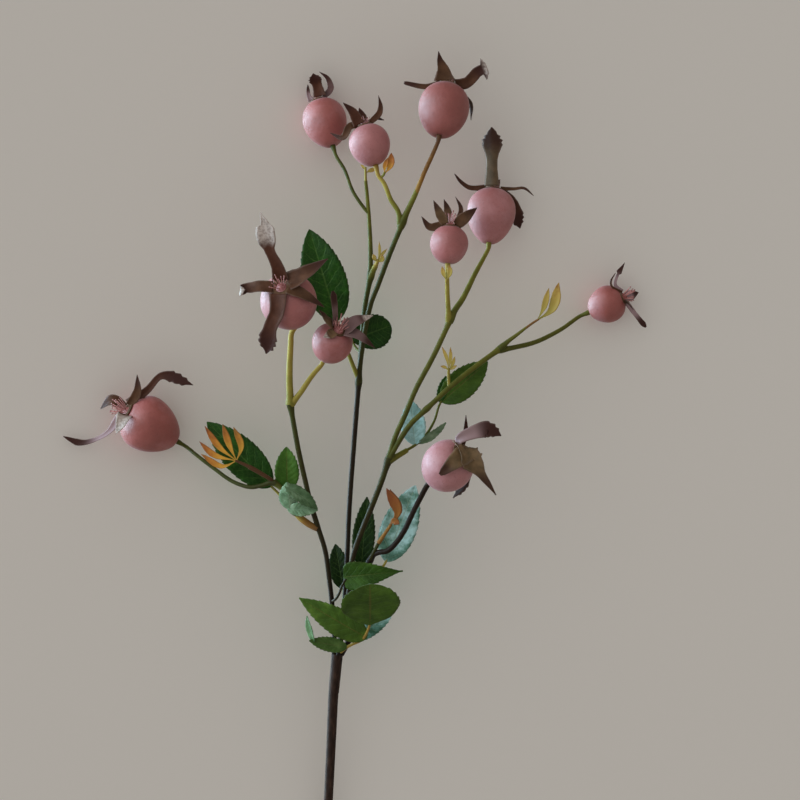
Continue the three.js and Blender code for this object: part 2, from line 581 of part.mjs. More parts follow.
// Young shoots and bracts: stalks with their radii, and the blades they carry.
const shoots = {
  shoot_left: {
    colour: colours.shoot,
    stalks: [[[[272, 480.5, 23.4], [268, 478, 24.6], [258, 472, 25.8], [249, 467, 26.7]], 0.8, 1],
      [[[251, 468, 26.6], [243, 464, 27], [235, 460.5, 27.5]], 0.75, 0.5]],
    blades: [
      [[[236.5, 461, 27.4], [219, 447, 28.3], [204.5, 426, 29]], 3.6],
      [[[236.5, 461, 27.4], [229.5, 446, 28.8], [222.5, 424, 30]], 3.8],
      [[[236, 461.5, 27.4], [241, 446, 29], [233.5, 427, 30.5]], 3.8],
      [[[236.5, 461, 27.4], [214, 455, 27.8], [199, 441.5, 28]], 3.6],
      [[[237, 460.5, 27.4], [222, 466.5, 27.4], [200.5, 454, 27.4]], 3.2],
    ],
  },
  shoot_low: {
    colour: colours.shoot,
    stalks: [[[[378.5, 543, 33.6], [384, 535, 34.5], [391, 524.5, 35.2]], 0.9, 0.6]],
    blades: [
      [[[390, 526, 35.1], [397.5, 511, 36.2], [386.5, 488, 38]], 4.4],
      [[[390, 526, 35.1], [399, 511, 35.6], [390, 489, 37]], 3.2],
      [[[389.5, 524.5, 35.1], [394, 521, 35.6], [399.5, 524, 36]], 3],
    ],
  },
  shoot_centre: {
    colour: colours.bract,
    stalks: [[[[375, 266.5, 23.5], [376.8, 263, 23.9], [378, 259, 24.2]], 0.9, 0.6]],
    blades: [
      [[[377, 262, 24], [374.5, 258, 24.8], [373, 253.5, 25.4]], 1.8],
      [[[377, 262, 24], [379.5, 252, 24.6], [379, 241, 25]], 1.2],
      [[[377, 262, 24], [382, 254, 24.4], [387, 248.5, 24.8]], 1.3],
      [[[377, 262, 24], [382, 259, 25], [382, 254, 26]], 2],
    ],
  },
  shoot_top: {
    colour: colours.bract,
    stalks: [[[[365.6, 181, 20.4], [365.4, 173, 20.2], [365.4, 166, 20]], 0.6, 0.45]],
    blades: [
      [[[365.4, 172.5, 20.2], [369, 170, 19.6], [376, 168, 19]], 1.8],
      [[[365.4, 170, 20.1], [363, 166, 19.8], [360.5, 163.5, 19.6]], 1.1],
    ],
  },
  bract_top: {
    colour: colours.shoot,
    stalks: [[[[381.5, 177, 30.9], [383.5, 175, 32.2], [385, 172, 33]], 0.5, 0.5]],
    blades: [
      [[[384.5, 174, 32.8], [390, 166, 33.2], [391.5, 153, 33]], 3.6],
      [[[384.5, 174, 32.8], [385, 166, 34], [388, 158, 34.4]], 2],
    ],
  },
  bract_right: {
    colour: colours.bract,
    stalks: [[[[447.3, 283.5, 34.2], [446.5, 282, 36], [446.5, 279, 36.6]], 0.6, 0.6]],
    blades: [
      [[[446.5, 281, 36.4], [443.5, 274, 36.6], [442, 266.5, 36.6]], 1.8],
      [[[446.5, 281, 36.4], [449.5, 274, 36.9], [449.5, 265, 37.2]], 2.2],
    ],
  },
  shoot_right_tip: {
    colour: colours.bract,
    stalks: [[[[526, 328, 27.6], [532, 323.5, 28], [539, 319, 28.4]], 0.7, 0.5]],
    blades: [
      [[[537.5, 320, 28.3], [552, 309, 29], [559, 282.5, 30]], 4.2],
      [[[537.5, 320, 28.3], [544, 307, 30], [549, 288, 31]], 2.6],
    ],
  },
  shoot_right: {
    colour: colours.bract,
    stalks: [[[[449, 388, 32], [448.8, 383, 30.2], [448.6, 377, 29.8], [448.6, 368, 30.4]], 0.75, 0.55]],
    blades: [
      [[[448.6, 370.5, 30.2], [447, 359, 30.8], [442, 346.5, 31.4]], 1.5],
      [[[448.6, 370.5, 30.2], [450.5, 358, 31], [450.5, 347, 31.6]], 1.5],
      [[[448.6, 370.5, 30.2], [452.5, 364, 30.8], [455, 356.5, 31.4]], 1.5],
      [[[448.6, 371, 30.2], [445.5, 367.5, 30.4], [440.5, 366, 30.8]], 1.3],
      [[[448.6, 371, 30.2], [452.5, 368, 30.4], [457, 365.5, 30.6]], 1.3],
    ],
  },
};

Object.entries(shoots).forEach(([name, { colour, stalks, blades }]) => {
  const stalkSolids = stalks.map(([places, start, end]) => tube(route(places), start, end, 0, 5, 6));
  const whole = fuse([...stalkSolids, ...blades.map(([places, width]) => youngBlade(places, width))]);
  addNode(name, whole.subtract(stemClearance), colour, 0.5);
});

export default group;
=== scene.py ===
import json
import math
import random
import bpy
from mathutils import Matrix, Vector, noise


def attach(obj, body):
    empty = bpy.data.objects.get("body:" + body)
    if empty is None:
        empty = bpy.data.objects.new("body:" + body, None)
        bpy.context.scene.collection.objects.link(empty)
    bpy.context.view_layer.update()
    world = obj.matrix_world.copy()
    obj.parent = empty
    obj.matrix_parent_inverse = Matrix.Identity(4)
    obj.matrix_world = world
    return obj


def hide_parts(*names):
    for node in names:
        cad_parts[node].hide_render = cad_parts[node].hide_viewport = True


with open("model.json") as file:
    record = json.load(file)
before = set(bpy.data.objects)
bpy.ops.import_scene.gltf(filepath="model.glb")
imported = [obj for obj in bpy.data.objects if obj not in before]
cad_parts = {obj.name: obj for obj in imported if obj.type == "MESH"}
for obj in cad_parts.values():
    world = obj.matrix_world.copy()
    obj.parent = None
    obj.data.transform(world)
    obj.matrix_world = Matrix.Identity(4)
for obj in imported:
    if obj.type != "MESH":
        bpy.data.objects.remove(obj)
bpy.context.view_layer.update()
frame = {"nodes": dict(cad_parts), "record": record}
slotOf = {part["node"]: part["material_slot"] for part in frame["record"]["subparts"]}
print("frame loaded with", len(frame["nodes"]), "nodes")

mm = 0.001
upward = Vector((0, 0, 1))
lineSteps = 14  # steps between two places of a line
edgeShare = 0.4  # share of its thickness that a blade keeps at the edge
plan = {"square": 0.4 * mm, "middleColumn": 354, "middleRow": 481.5}  # places are counted on a squared sheet


def at(place):
    column, row, height = place
    return Vector(((column - plan["middleColumn"]) * plan["square"],
                   (plan["middleRow"] - row) * plan["square"], height * mm))


def blend(a, b, share):
    return a + (b - a) * share


def tone(red, green, blue):  # a screen colour as a light value
    def light(value):
        value /= 255
        return value / 12.92 if value <= 0.04045 else ((value + 0.055) / 1.055) ** 2.4
    return (light(red), light(green), light(blue), 1.0)


def smoothLine(points):  # a dense smooth line through the places
    chain = [points[0] * 2 - points[1], *points, points[-1] * 2 - points[-2]]
    dense = []
    for a, b, c, d in zip(chain, chain[1:], chain[2:], chain[3:]):
        t1 = (b - a).length ** 0.5
        t2 = t1 + (c - b).length ** 0.5
        t3 = t2 + (d - c).length ** 0.5
        for step in range(lineSteps):
            t = blend(t1, t2, step / lineSteps)
            ab, bc = blend(a, b, t / t1), blend(b, c, (t - t1) / (t2 - t1))
            cd = blend(c, d, (t - t2) / (t3 - t2))
            abc, bcd = blend(ab, bc, t / t2), blend(bc, cd, (t - t1) / (t3 - t1))
            dense.append(blend(abc, bcd, (t - t1) / (t2 - t1)))
    return [*dense, points[-1]]


def lineLength(line):
    return sum((b - a).length for a, b in zip(line, line[1:]))


def placesOn(line, alongs):  # spots and directions at shares of the line's length
    reached = [0.0]
    for a, b in zip(line, line[1:]):
        reached.append(reached[-1] + (b - a).length)
    spots, step = [], 0
    for along in alongs:
        goal = along * reached[-1]
        while step < len(line) - 2 and reached[step + 1] < goal:
            step += 1
        share = (goal - reached[step]) / max(reached[step + 1] - reached[step], 1e-9)
        spots.append(blend(line[step], line[step + 1], share))
    last = len(spots) - 1
    ways = [(spots[min(i + 1, last)] - spots[max(i - 1, 0)]).normalized() for i in range(last + 1)]
    return spots, ways


def strandOn(places, look):  # even spots of a smooth line through places, with their shares of its length
    line = smoothLine(places)
    count = max(look["fewest"], round(lineLength(line) / (look["pitch"] * mm)))
    shares = [i / count for i in range(count + 1)]
    return zip(placesOn(line, shares)[0], shares)


class Pile:  # gathers the sheets and shells of one piece, with their maps and marks
    def __init__(self):
        self.spots, self.faces, self.maps = [], [], []
        self.marks = {"under": [], "shade": [], "warm": []}

    def add(self, spot, place, under, look):
        self.spots.append(spot)
        self.maps.append(place)
        self.marks["under"].append(under)
        for mark in ("shade", "warm"):
            self.marks[mark].append(look.get(mark, 0))

    def sheet(self, line, across, rows, look):  # rows: share of the length, half widths, teeth
        spots, ways = placesOn(line, [row["along"] for row in rows])
        count = look["columns"]
        start, thick = len(self.spots), look["thick"] / 2
        for row, spot, way in zip(rows, spots, ways):
            right = (across - way * across.dot(way)).normalized()
            up = right.cross(way)
            for level, under in ((thick, 0.0), (-thick, 1.0)):
                for column in range(count):
                    share = 2 * column / (count - 1) - 1
                    half = row["left"] if share < 0 else row["right"]
                    edge = abs(share) == 1
                    out = share * half + (math.copysign(row["tooth"], share) if edge else 0)
                    ahead = row["ahead"] if edge else 0
                    lift = level * (edgeShare if edge else 1) + look["lift"](row["along"], share, half)
                    self.add(spot + right * out + way * ahead + up * lift,
                             (0.5 + share / 2, row["along"]), under, look)

        def corner(i, j, under=0):
            return start + (2 * i + under) * count + j
        end, final = count - 1, len(rows) - 1
        for i in range(final):
            for j in range(end):
                m, k = i + 1, j + 1  # next row and next column
                self.faces.append((corner(i, j), corner(i, k), corner(m, k), corner(m, j)))
                self.faces.append((corner(i, j, 1), corner(m, j, 1), corner(m, k, 1), corner(i, k, 1)))
            self.faces.append((corner(i, 0), corner(i + 1, 0), corner(i + 1, 0, 1), corner(i, 0, 1)))
            self.faces.append((corner(i, end), corner(i, end, 1), corner(i + 1, end, 1), corner(i + 1, end)))
        for j in range(end):
            k = j + 1
            self.faces.append((corner(0, j), corner(0, j, 1), corner(0, k, 1), corner(0, k)))
            self.faces.append((corner(final, j), corner(final, k), corner(final, k, 1), corner(final, j, 1)))

    def shell(self, rings, look):  # rings from the lower pole to the upper pole, each a list of spots
        start, count = len(self.spots), len(rings[1])
        self.add(rings[0][0], (0.5, 0.0), 0.0, look)
        for i, ring in enumerate(rings[1:-1], 1):
            for j, spot in enumerate(ring):
                self.add(spot, (j / count, i / (len(rings) - 1)), 0.0, look)
        top = len(self.spots)
        self.add(rings[-1][0], (0.5, 1.0), 0.0, look)
        for j in range(count):
            k = (j + 1) % count
            self.faces.append((start, start + 1 + k, start + 1 + j))
            for i in range(len(rings) - 3):
                low, high = start + 1 + i * count, start + 1 + (i + 1) * count
                self.faces.append((low + j, low + k, high + k, high + j))
            low = start + 1 + (len(rings) - 3) * count
            self.faces.append((low + j, low + k, top))

    def ring(self, loops, look):  # closed loops round a hole, joined into a hoop
        start, size = len(self.spots), len(loops[0])
        for i, loop in enumerate(loops):
            for j, spot in enumerate(loop):
                self.add(spot, (i / len(loops), j / size), 0.0, look)
        for i in range(len(loops)):
            low, high = start + i * size, start + ((i + 1) % len(loops)) * size
            for j in range(size):
                k = (j + 1) % size
                self.faces.append((low + j, high + j, high + k, low + k))

    def finish(self, name, node, material):
        mesh = bpy.data.meshes.new(name)
        mesh.from_pydata(self.spots, [], self.faces)
        mesh.materials.append(material)
        layer = mesh.uv_layers.new(name="plan")
        for loop in mesh.loops:
            layer.data[loop.index].uv = self.maps[loop.vertex_index]
        for mark, values in self.marks.items():
            mesh.attributes.new(mark, "FLOAT", "POINT").data.foreach_set("value", values)
        mesh.shade_smooth()
        piece = bpy.data.objects.new(name, mesh)
        bpy.context.scene.collection.objects.link(piece)
        return settle(piece, node)


def settle(piece, node):
    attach(piece, "root")
    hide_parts(node)
    return piece


class Wire:  # a socket that takes part in sums
    def __init__(self, paint, socket):
        self.paint, self.socket = paint, socket

    def math(self, operation, first, second=0.0):
        return self.paint.node("ShaderNodeMath", {"operation": operation}, {0: first, 1: second})

    def __add__(self, other):
        return self.math("ADD", self, other)

    def __sub__(self, other):
        return self.math("SUBTRACT", self, other)

    def __rsub__(self, other):
        return self.math("SUBTRACT", other, self)

    def __mul__(self, other):
        return self.math("MULTIPLY", self, other)

    def __abs__(self):
        return self.math("ABSOLUTE", self)

    def part(self):
        return self.math("FRACT", self)

    def step(self, low, high):  # 0 below, 1 above, smooth between
        return self.paint.node("ShaderNodeMapRange", {"interpolation_type": "SMOOTHSTEP"},
                               {0: self, 1: low, 2: high})

    __radd__, __rmul__ = __add__, __mul__


class Paint:
    def __init__(self, name):
        self.material = bpy.data.materials.new(name)
        self.material.use_nodes = True
        self.tree = self.material.node_tree
        self.tree.nodes.clear()

    def node(self, kind, settings=None, sockets=None, out=0):
        made = self.tree.nodes.new(kind)
        for key, value in (settings or {}).items():
            if key == "stops":
                while len(made.color_ramp.elements) < len(value):
                    made.color_ramp.elements.new(0.5)
                for element, (place, colour) in zip(made.color_ramp.elements, value):
                    element.position, element.color = place, colour
            else:
                setattr(made, key, value)
        for key, value in (sockets or {}).items():
            if isinstance(value, Wire):
                self.tree.links.new(value.socket, made.inputs[key])
            else:
                made.inputs[key].default_value = value
        return Wire(self, made.outputs[out]) if made.outputs else None

    def mark(self, name):
        return self.node("ShaderNodeAttribute", {"attribute_name": name}, out=2)

    def plan(self):  # side from -1 to 1, and the share of the length
        flat = self.node("ShaderNodeUVMap", {"uv_map": "plan"})
        side = self.node("ShaderNodeSeparateXYZ", {}, {0: flat}, out=0)
        along = self.node("ShaderNodeSeparateXYZ", {}, {0: flat}, out=1)
        return side * 2 - 1, along

    def grain(self, scale, detail=3.0, stretch=(1, 1, 1), rough=0.5):
        place = self.node("ShaderNodeTexCoord", out=3)
        turned = self.node("ShaderNodeMapping", {}, {"Vector": place, "Scale": stretch})
        return self.node("ShaderNodeTexNoise", {}, {"Vector": turned, "Scale": scale, "Detail": detail,
                                                    "Roughness": rough})

    def mix(self, share, first, second):
        return self.node("ShaderNodeMix", {"data_type": "RGBA"}, {0: share, 6: first, 7: second}, out=2)

    def ramp(self, value, stops):
        return self.node("ShaderNodeValToRGB", {"stops": stops}, {0: value})

    def bump(self, height, depth):
        return self.node("ShaderNodeBump", {}, {"Height": height, "Distance": depth, "Strength": 1.0})

    def finish(self, colour, roughness, normal=None, **fixed):
        sockets = {"Base Color": colour, "Roughness": roughness, **fixed}
        if normal:
            sockets["Normal"] = normal
        surface = self.node("ShaderNodeBsdfPrincipled", {}, sockets)
        self.node("ShaderNodeOutputMaterial", {}, {"Surface": surface})
        return self.material


barkTones = {
    "grain": [(0.3, tone(32, 22, 18)), (0.55, tone(48, 34, 28)), (0.75, tone(68, 50, 41))],
    "scale": 900, "stretch": (1, 0.25, 1), "roughness": 0.55, "relief": 0.25,
    "fixed": {"Specular IOR Level": 0.08},
}


def barkPaint(look):
    paint = Paint("bark")
    grain = paint.grain(look["scale"], 4, look["stretch"])
    colour = paint.ramp(grain, look["grain"])
    return paint.finish(colour, look["roughness"], paint.bump(grain, look["relief"] * mm), **look["fixed"])


shootTones = {
    "tint": [(0.0, tone(32, 23, 17)), (0.15, tone(44, 38, 20)), (0.32, tone(60, 64, 26)),
             (0.5, tone(104, 102, 40)), (0.66, tone(154, 138, 66)), (0.82, tone(132, 94, 44)),
             (1.0, tone(84, 58, 40))],
    "squeeze": 2 / 3,  # the last tone is for a tint of 1.5
    "cloudScale": 260, "cloud": 0.3,
    "fleck": tone(64, 46, 34), "fleckScale": 1700, "fleckFrom": (0.62, 0.74), "fleckCover": 0.35,
    "roughness": 0.45, "reliefScale": 1500, "relief": 0.12,
    "fixed": {"Specular IOR Level": 0.09},
}


def shootPaint(look):
    paint = Paint("shoot bark")
    cloud = (paint.grain(look["cloudScale"], 3) - 0.5) * look["cloud"]
    colour = paint.ramp((paint.mark("tint") + cloud) * look["squeeze"], look["tint"])
    fleck = paint.grain(look["fleckScale"], 2).step(*look["fleckFrom"])
    colour = paint.mix(fleck * look["fleckCover"], colour, look["fleck"])
    relief = paint.bump(paint.grain(look["reliefScale"], 3), look["relief"] * mm)
    return paint.finish(colour, look["roughness"], relief, **look["fixed"])


skinTones = {
    "cloud": [(0.3, tone(130, 54, 47)), (0.5, tone(140, 62, 55)), (0.72, tone(154, 76, 71))],
    "cloudScale": 130,
    # bloom colour, laid as mottling and as each hip's painted light
    "bloomAndPaintedLight": tone(186, 138, 146), "bloomScale": 75, "bloomFrom": (0.46, 0.66), "bloomCover": 0.2,
    # painted shade: a hip value below 0 darkens the hip toward this deep red
    "deep": tone(96, 38, 34),  # for a bloom below 0
    "pit": tone(104, 46, 43), "pitScale": 1300, "pitFrom": (0.56, 0.7), "pitCover": 0.26,
    "stalkEnd": tone(104, 58, 50), "stalkEndFrom": (0.92, 1.0), "stalkEndCover": 0.6,
    "roughness": 0.52, "roughnessScale": 700, "roughnessVary": 0.2,
    "wrinkleScale": 230, "wrinkleShare": 0.75, "pitShare": 0.25, "relief": 0.36,
    "fixed": {"Specular IOR Level": 1.0, "Sheen Weight": 0.12, "Sheen Roughness": 0.35,
              "Sheen Tint": (0.9, 0.9, 1, 1)},
}


def fleshPaint(look):
    paint = Paint("hip skin")
    along = paint.plan()[1]
    colour = paint.ramp(paint.grain(look["cloudScale"], 4), look["cloud"])
    dust = paint.grain(look["bloomScale"], 5, rough=0.62).step(*look["bloomFrom"])
    bloomAndPaintedLight = paint.mark("shade")
    # mottled bloom from noise, plus each hip's painted light toward pale lilac
    colour = paint.mix(dust * look["bloomCover"] + bloomAndPaintedLight, colour, look["bloomAndPaintedLight"])
    # painted shade: a hip value below 0 darkens it toward deep red
    colour = paint.mix((0 - bloomAndPaintedLight).step(0.0, 1.0), colour, look["deep"])
    pits = paint.grain(look["pitScale"], 2)
    colour = paint.mix(pits.step(*look["pitFrom"]) * look["pitCover"], colour, look["pit"])
    foot = (1 - along).step(*look["stalkEndFrom"]) * look["stalkEndCover"]
    colour = paint.mix(foot, colour, look["stalkEnd"])
    wrinkle = paint.grain(look["wrinkleScale"], 4) * look["wrinkleShare"] + pits * look["pitShare"]
    roughness = look["roughness"] + paint.grain(look["roughnessScale"], 2) * look["roughnessVary"]
    return paint.finish(colour, roughness, paint.bump(wrinkle, look["relief"] * mm), **look["fixed"])


stamenTones = {"thread": tone(196, 138, 136), "anther": tone(110, 66, 58), "antherCover": 0.7,
               "fleck": tone(160, 98, 94), "fleckScale": 2500, "fleckCover": 0.4, "roughness": 0.5}


def stamenPaint(look):
    paint = Paint("stamens")
    colour = paint.mix(paint.mark("anther") * look["antherCover"], look["thread"], look["anther"])
    fleck = paint.grain(look["fleckScale"], 2) * look["fleckCover"]
    return paint.finish(paint.mix(fleck, colour, look["fleck"]), look["roughness"])


sepalTones = {
    "inner": [(0.3, tone(64, 35, 23)), (0.55, tone(72, 41, 28)), (0.75, tone(83, 50, 36))],
    "outer": [(0.3, tone(52, 43, 37)), (0.55, tone(61, 51, 44)), (0.75, tone(75, 65, 55))],
    "straw": [(0.35, tone(94, 78, 56)), (0.7, tone(124, 100, 72))],  # for a shade of 1
    "mauve": tone(156, 132, 136), "tipLoss": 0.9,  # for a shade of -1
    "tip": tone(54, 29, 25), "tipFrom": (0.44, 0.78), "tipCover": 0.85,
    # painted highlight: a pale rim along every sepal edge
    "edge": tone(138, 120, 112), "edgeFrom": (0.74, 1.0), "edgeCover": 0.26,
    "bleach": tone(186, 173, 165), "bleachCloud": 0.2, "bleachBlend": (0.0, 0.16), "bleachStart": (0.0, 0.1),
    "bleachCover": 0.5, "streakCover": 0.4, "streakScale": 1100, "streakFrom": (0.36, 0.62),
    "grainScale": 300, "roughness": 0.58, "relief": 0.1,
    "fixed": {"Specular IOR Level": 0.15},
}


def sepalPaint(look):
    paint = Paint("sepals")
    side, along = paint.plan()
    grain = paint.grain(look["grainScale"], 3)
    inner, outer = paint.ramp(grain, look["inner"]), paint.ramp(grain, look["outer"])
    colour = paint.mix(paint.mark("under"), inner, outer)
    shade = paint.mark("shade")
    tip = along.step(*look["tipFrom"])
    colour = paint.mix(shade, colour, paint.ramp(grain, look["straw"]))
    colour = paint.mix((0 - shade).step(0.0, 1.0) * (1 - tip * look["tipLoss"]), colour, look["mauve"])
    colour = paint.mix(tip * look["tipCover"], colour, look["tip"])
    # painted highlight along the sepal edges
    colour = paint.mix(abs(side).step(*look["edgeFrom"]) * look["edgeCover"], colour, look["edge"])
    start = paint.mark("warm")  # place along the sepal where it turns pale
    cloud = (grain - 0.5) * look["bleachCloud"]
    bleach = (along + cloud - start).step(*look["bleachBlend"]) * start.step(*look["bleachStart"])
    streak = paint.grain(look["streakScale"], 3)
    cover = look["bleachCover"] + streak.step(*look["streakFrom"]) * look["streakCover"]
    colour = paint.mix(bleach * cover, colour, look["bleach"])
    return paint.finish(colour, look["roughness"], paint.bump(streak, look["relief"] * mm), **look["fixed"])


veins = {"slant": 0.2, "count": 8, "bend": 0.5, "bendScale": 380, "lateral": (0.86, 0.985),
         "fade": (0.5, 0.95), "fadeCover": 0.8, "midrib": (0.015, 0.06), "net": (0.02, 0.1),
         "netScale": 620.0, "lateralDepth": 0.7, "depth": 0.7, "netDepth": -0.2}
leafTones = {
    "face": [(0.3, tone(19, 49, 7)), (0.55, tone(26, 62, 10)), (0.75, tone(38, 82, 16))],
    "olive": [(0.3, tone(50, 72, 18)), (0.55, tone(63, 88, 25)), (0.75, tone(84, 110, 38))],
    "fresh": [(0.3, tone(36, 84, 22)), (0.7, tone(66, 122, 46))],  # for an olive of 2
    # painted shade: leaflets in shade are darkened toward this tone
    "dark": tone(12, 26, 7),  # for an olive of -1
    "vein": tone(96, 134, 62), "veinCover": 0.22, "netCover": 0.07,
    "rib": tone(106, 138, 68), "oliveRib": tone(128, 78, 50), "ribCover": 0.18,
    "silver": [(0.32, tone(72, 98, 70)), (0.52, tone(112, 140, 108)), (0.7, tone(158, 184, 156))],
    # blue-silver leaf backs, with painted reflection in the brightest patches
    "frostAndReflection": [(0.34, tone(50, 86, 64)), (0.46, tone(104, 150, 138)), (0.58, tone(184, 226, 228))],
    "frostScale": 110, "frostFrom": (0.8, 0.9),
    # painted reflection laid over the palest leaflets
    "paintedReflection": tone(176, 220, 224), "paintedReflectionFrom": (0.92, 1.0), "paintedReflectionCover": 0.45,
    "silverVein": tone(150, 174, 152), "silverVeinFrom": (0.2, 0.9), "silverVeinCover": 0.45,
    "paleBack": 0.6,  # how far the back of a pale leaflet turns green
    "edge": tone(72, 56, 36), "edgeFrom": (0.94, 1.0), "edgeCover": 0.3,
    "cloudScale": 220, "roughness": 0.38, "roughnessVary": 0.2, "relief": 0.14,
    "fixed": {"Specular IOR Level": 0.14},
}


def leafPaint(look):
    paint = Paint("leaf")
    side, along = paint.plan()
    wing = abs(side)
    cloud = paint.grain(look["cloudScale"], 4)
    bend = (paint.grain(veins["bendScale"], 2) - 0.5) * veins["bend"]
    bent = (along - wing * veins["slant"]) * veins["count"] + bend
    vein = abs(bent.part() - 0.5) * 2
    lateral = vein.step(*veins["lateral"]) * (1 - wing.step(*veins["fade"]) * veins["fadeCover"])
    midrib = 1 - wing.step(*veins["midrib"])
    place = paint.node("ShaderNodeTexCoord", out=3)
    cell = paint.node("ShaderNodeTexVoronoi", {"feature": "DISTANCE_TO_EDGE"},
                      {"Vector": place, "Scale": veins["netScale"]})
    net = 1 - cell.step(*veins["net"])
    warm, shade = paint.mark("warm"), paint.mark("shade")
    face = paint.mix(warm, paint.ramp(cloud, look["face"]), paint.ramp(cloud, look["olive"]))
    face = paint.mix((warm - 1).step(0.0, 1.0), face, paint.ramp(cloud, look["fresh"]))
    # painted shade for leaflets with an olive below 0
    face = paint.mix((0 - warm).step(0.0, 1.0), face, look["dark"])
    face = paint.mix(lateral * look["veinCover"] + net * look["netCover"], face, look["vein"])
    face = paint.mix(midrib * look["ribCover"], face, paint.mix(warm, look["rib"], look["oliveRib"]))
    # blue-silver leaf backs with painted reflection, brightest on the palest leaflets
    frostAndReflection = paint.ramp(paint.grain(look["frostScale"], 5, rough=0.65), look["frostAndReflection"])
    frostAndReflection = paint.mix(shade.step(*look["paintedReflectionFrom"]) * look["paintedReflectionCover"], frostAndReflection, look["paintedReflection"])
    silver = paint.mix(shade.step(*look["frostFrom"]), paint.ramp(cloud, look["silver"]), frostAndReflection)
    ribs = (lateral + midrib).step(*look["silverVeinFrom"])
    silver = paint.mix(ribs * look["silverVeinCover"], silver, look["silverVein"])
    back = paint.mark("under")
    colour = paint.mix(back * (1 - shade) + shade * (1 - back * look["paleBack"]), face, silver)
    colour = paint.mix(wing.step(*look["edgeFrom"]) * look["edgeCover"], colour, look["edge"])
    relief = (1 - lateral * veins["lateralDepth"] - midrib) * veins["depth"] + net * veins["netDepth"]
    roughness = look["roughness"] + cloud * look["roughnessVary"]
    return paint.finish(colour, roughness, paint.bump(relief, look["relief"] * mm), **look["fixed"])


youngTones = {
    "orange": [(0.0, tone(172, 134, 44)), (0.35, tone(204, 150, 48)), (0.7, tone(172, 104, 32)),
               (1.0, tone(112, 58, 24))],
    "yellow": [(0.0, tone(134, 130, 54)), (0.4, tone(176, 160, 76)), (0.75, tone(184, 158, 76)),
               (1.0, tone(150, 108, 48))],
    "cloudScale": 600, "cloud": 0.5, "edgeFrom": (0.6, 1.0), "edgeCover": 0.35,
    "roughness": 0.45, "reliefScale": 1600, "relief": 0.1,
    "fixed": {"Specular IOR Level": 0.4},
}


def youngPaint(look, hue):
    paint = Paint(f"young {hue}")
    side, along = paint.plan()
    stops = look[hue]
    first, last = stops[0][1], stops[-1][1]
    cloud = (paint.grain(look["cloudScale"], 3) - 0.5) * look["cloud"]
    colour = paint.ramp(along + cloud, stops)
    colour = paint.mix(abs(side).step(*look["edgeFrom"]) * look["edgeCover"], colour, last)
    colour = paint.mix(paint.mark("shade"), colour, first)
    colour = paint.mix(paint.mark("warm"), colour, last)
    relief = paint.bump(paint.grain(look["reliefScale"], 2), look["relief"] * mm)
    return paint.finish(colour, look["roughness"], relief, **look["fixed"])


paints = {
    "bark": barkPaint(barkTones),
    "shoot": shootPaint(shootTones),
    "flesh": fleshPaint(skinTones),
    "stamen": stamenPaint(stamenTones),
    "sepal": sepalPaint(sepalTones),
    "leaf": leafPaint(leafTones),
    "young_shoot": youngPaint(youngTones, "orange"),
    "young_bract": youngPaint(youngTones, "yellow"),
}
print("paints mixed:", len(paints))


class Grower:  # a Geometry Nodes tree with named inputs
    def __init__(self, name, inputs):
        self.tree = bpy.data.node_groups.new(name, "GeometryNodeTree")
        face = self.tree.interface
        face.new_socket("Geometry", in_out="INPUT", socket_type="NodeSocketGeometry")
        for label, kind in inputs.items():
            face.new_socket(label, in_out="INPUT", socket_type="NodeSocket" + kind)
        face.new_socket("Geometry", in_out="OUTPUT", socket_type="NodeSocketGeometry")
        self.given = self.tree.nodes.new("NodeGroupInput")

    def node(self, kind, settings=None, sockets=None, out=0):
        made = self.tree.nodes.new(kind)
        for key, value in (settings or {}).items():
            setattr(made, key, value)
        for key, value in (sockets or {}).items():
            if isinstance(value, bpy.types.NodeSocket):
                self.tree.links.new(value, made.inputs[key])
            elif isinstance(value, list):  # several shapes into one socket
                for shape in value:
                    self.tree.links.new(shape, made.inputs[key])
            else:
                made.inputs[key].default_value = value
        return made.outputs[out]

    def finish(self, shape):
        smooth = self.node("GeometryNodeSetShadeSmooth", {}, {"Geometry": shape})
        real = self.node("GeometryNodeRealizeInstances", {}, {"Geometry": smooth})
        painted = self.node("GeometryNodeSetMaterial", {}, {"Geometry": real,
                                                            "Material": self.given.outputs["Paint"]})
        self.tree.links.new(painted, self.tree.nodes.new("NodeGroupOutput").inputs[0])
        return self

    def grow(self, name, node, spots, edges, marks, values):
        mesh = bpy.data.meshes.new(name)
        mesh.from_pydata(spots, edges, [])
        for mark, (kind, numbers) in marks.items():
            field = "vector" if kind == "FLOAT_VECTOR" else "value"
            mesh.attributes.new(mark, kind, "POINT").data.foreach_set(field, numbers)
        seedling = bpy.data.objects.new(name + " line", mesh)
        bpy.context.scene.collection.objects.link(seedling)
        modifier = seedling.modifiers.new("grow", "NODES")
        modifier.node_group = self.tree
        for item in self.tree.interface.items_tree:
            if item.in_out == "INPUT" and item.name in values:
                modifier[item.identifier] = values[item.name]
        grown = seedling.evaluated_get(bpy.context.evaluated_depsgraph_get())
        piece = bpy.data.objects.new(name, bpy.data.meshes.new_from_object(grown))
        seedling.modifiers.remove(modifier)
        bpy.data.objects.remove(seedling)
        bpy.context.scene.collection.objects.link(piece)
        return settle(piece, node)


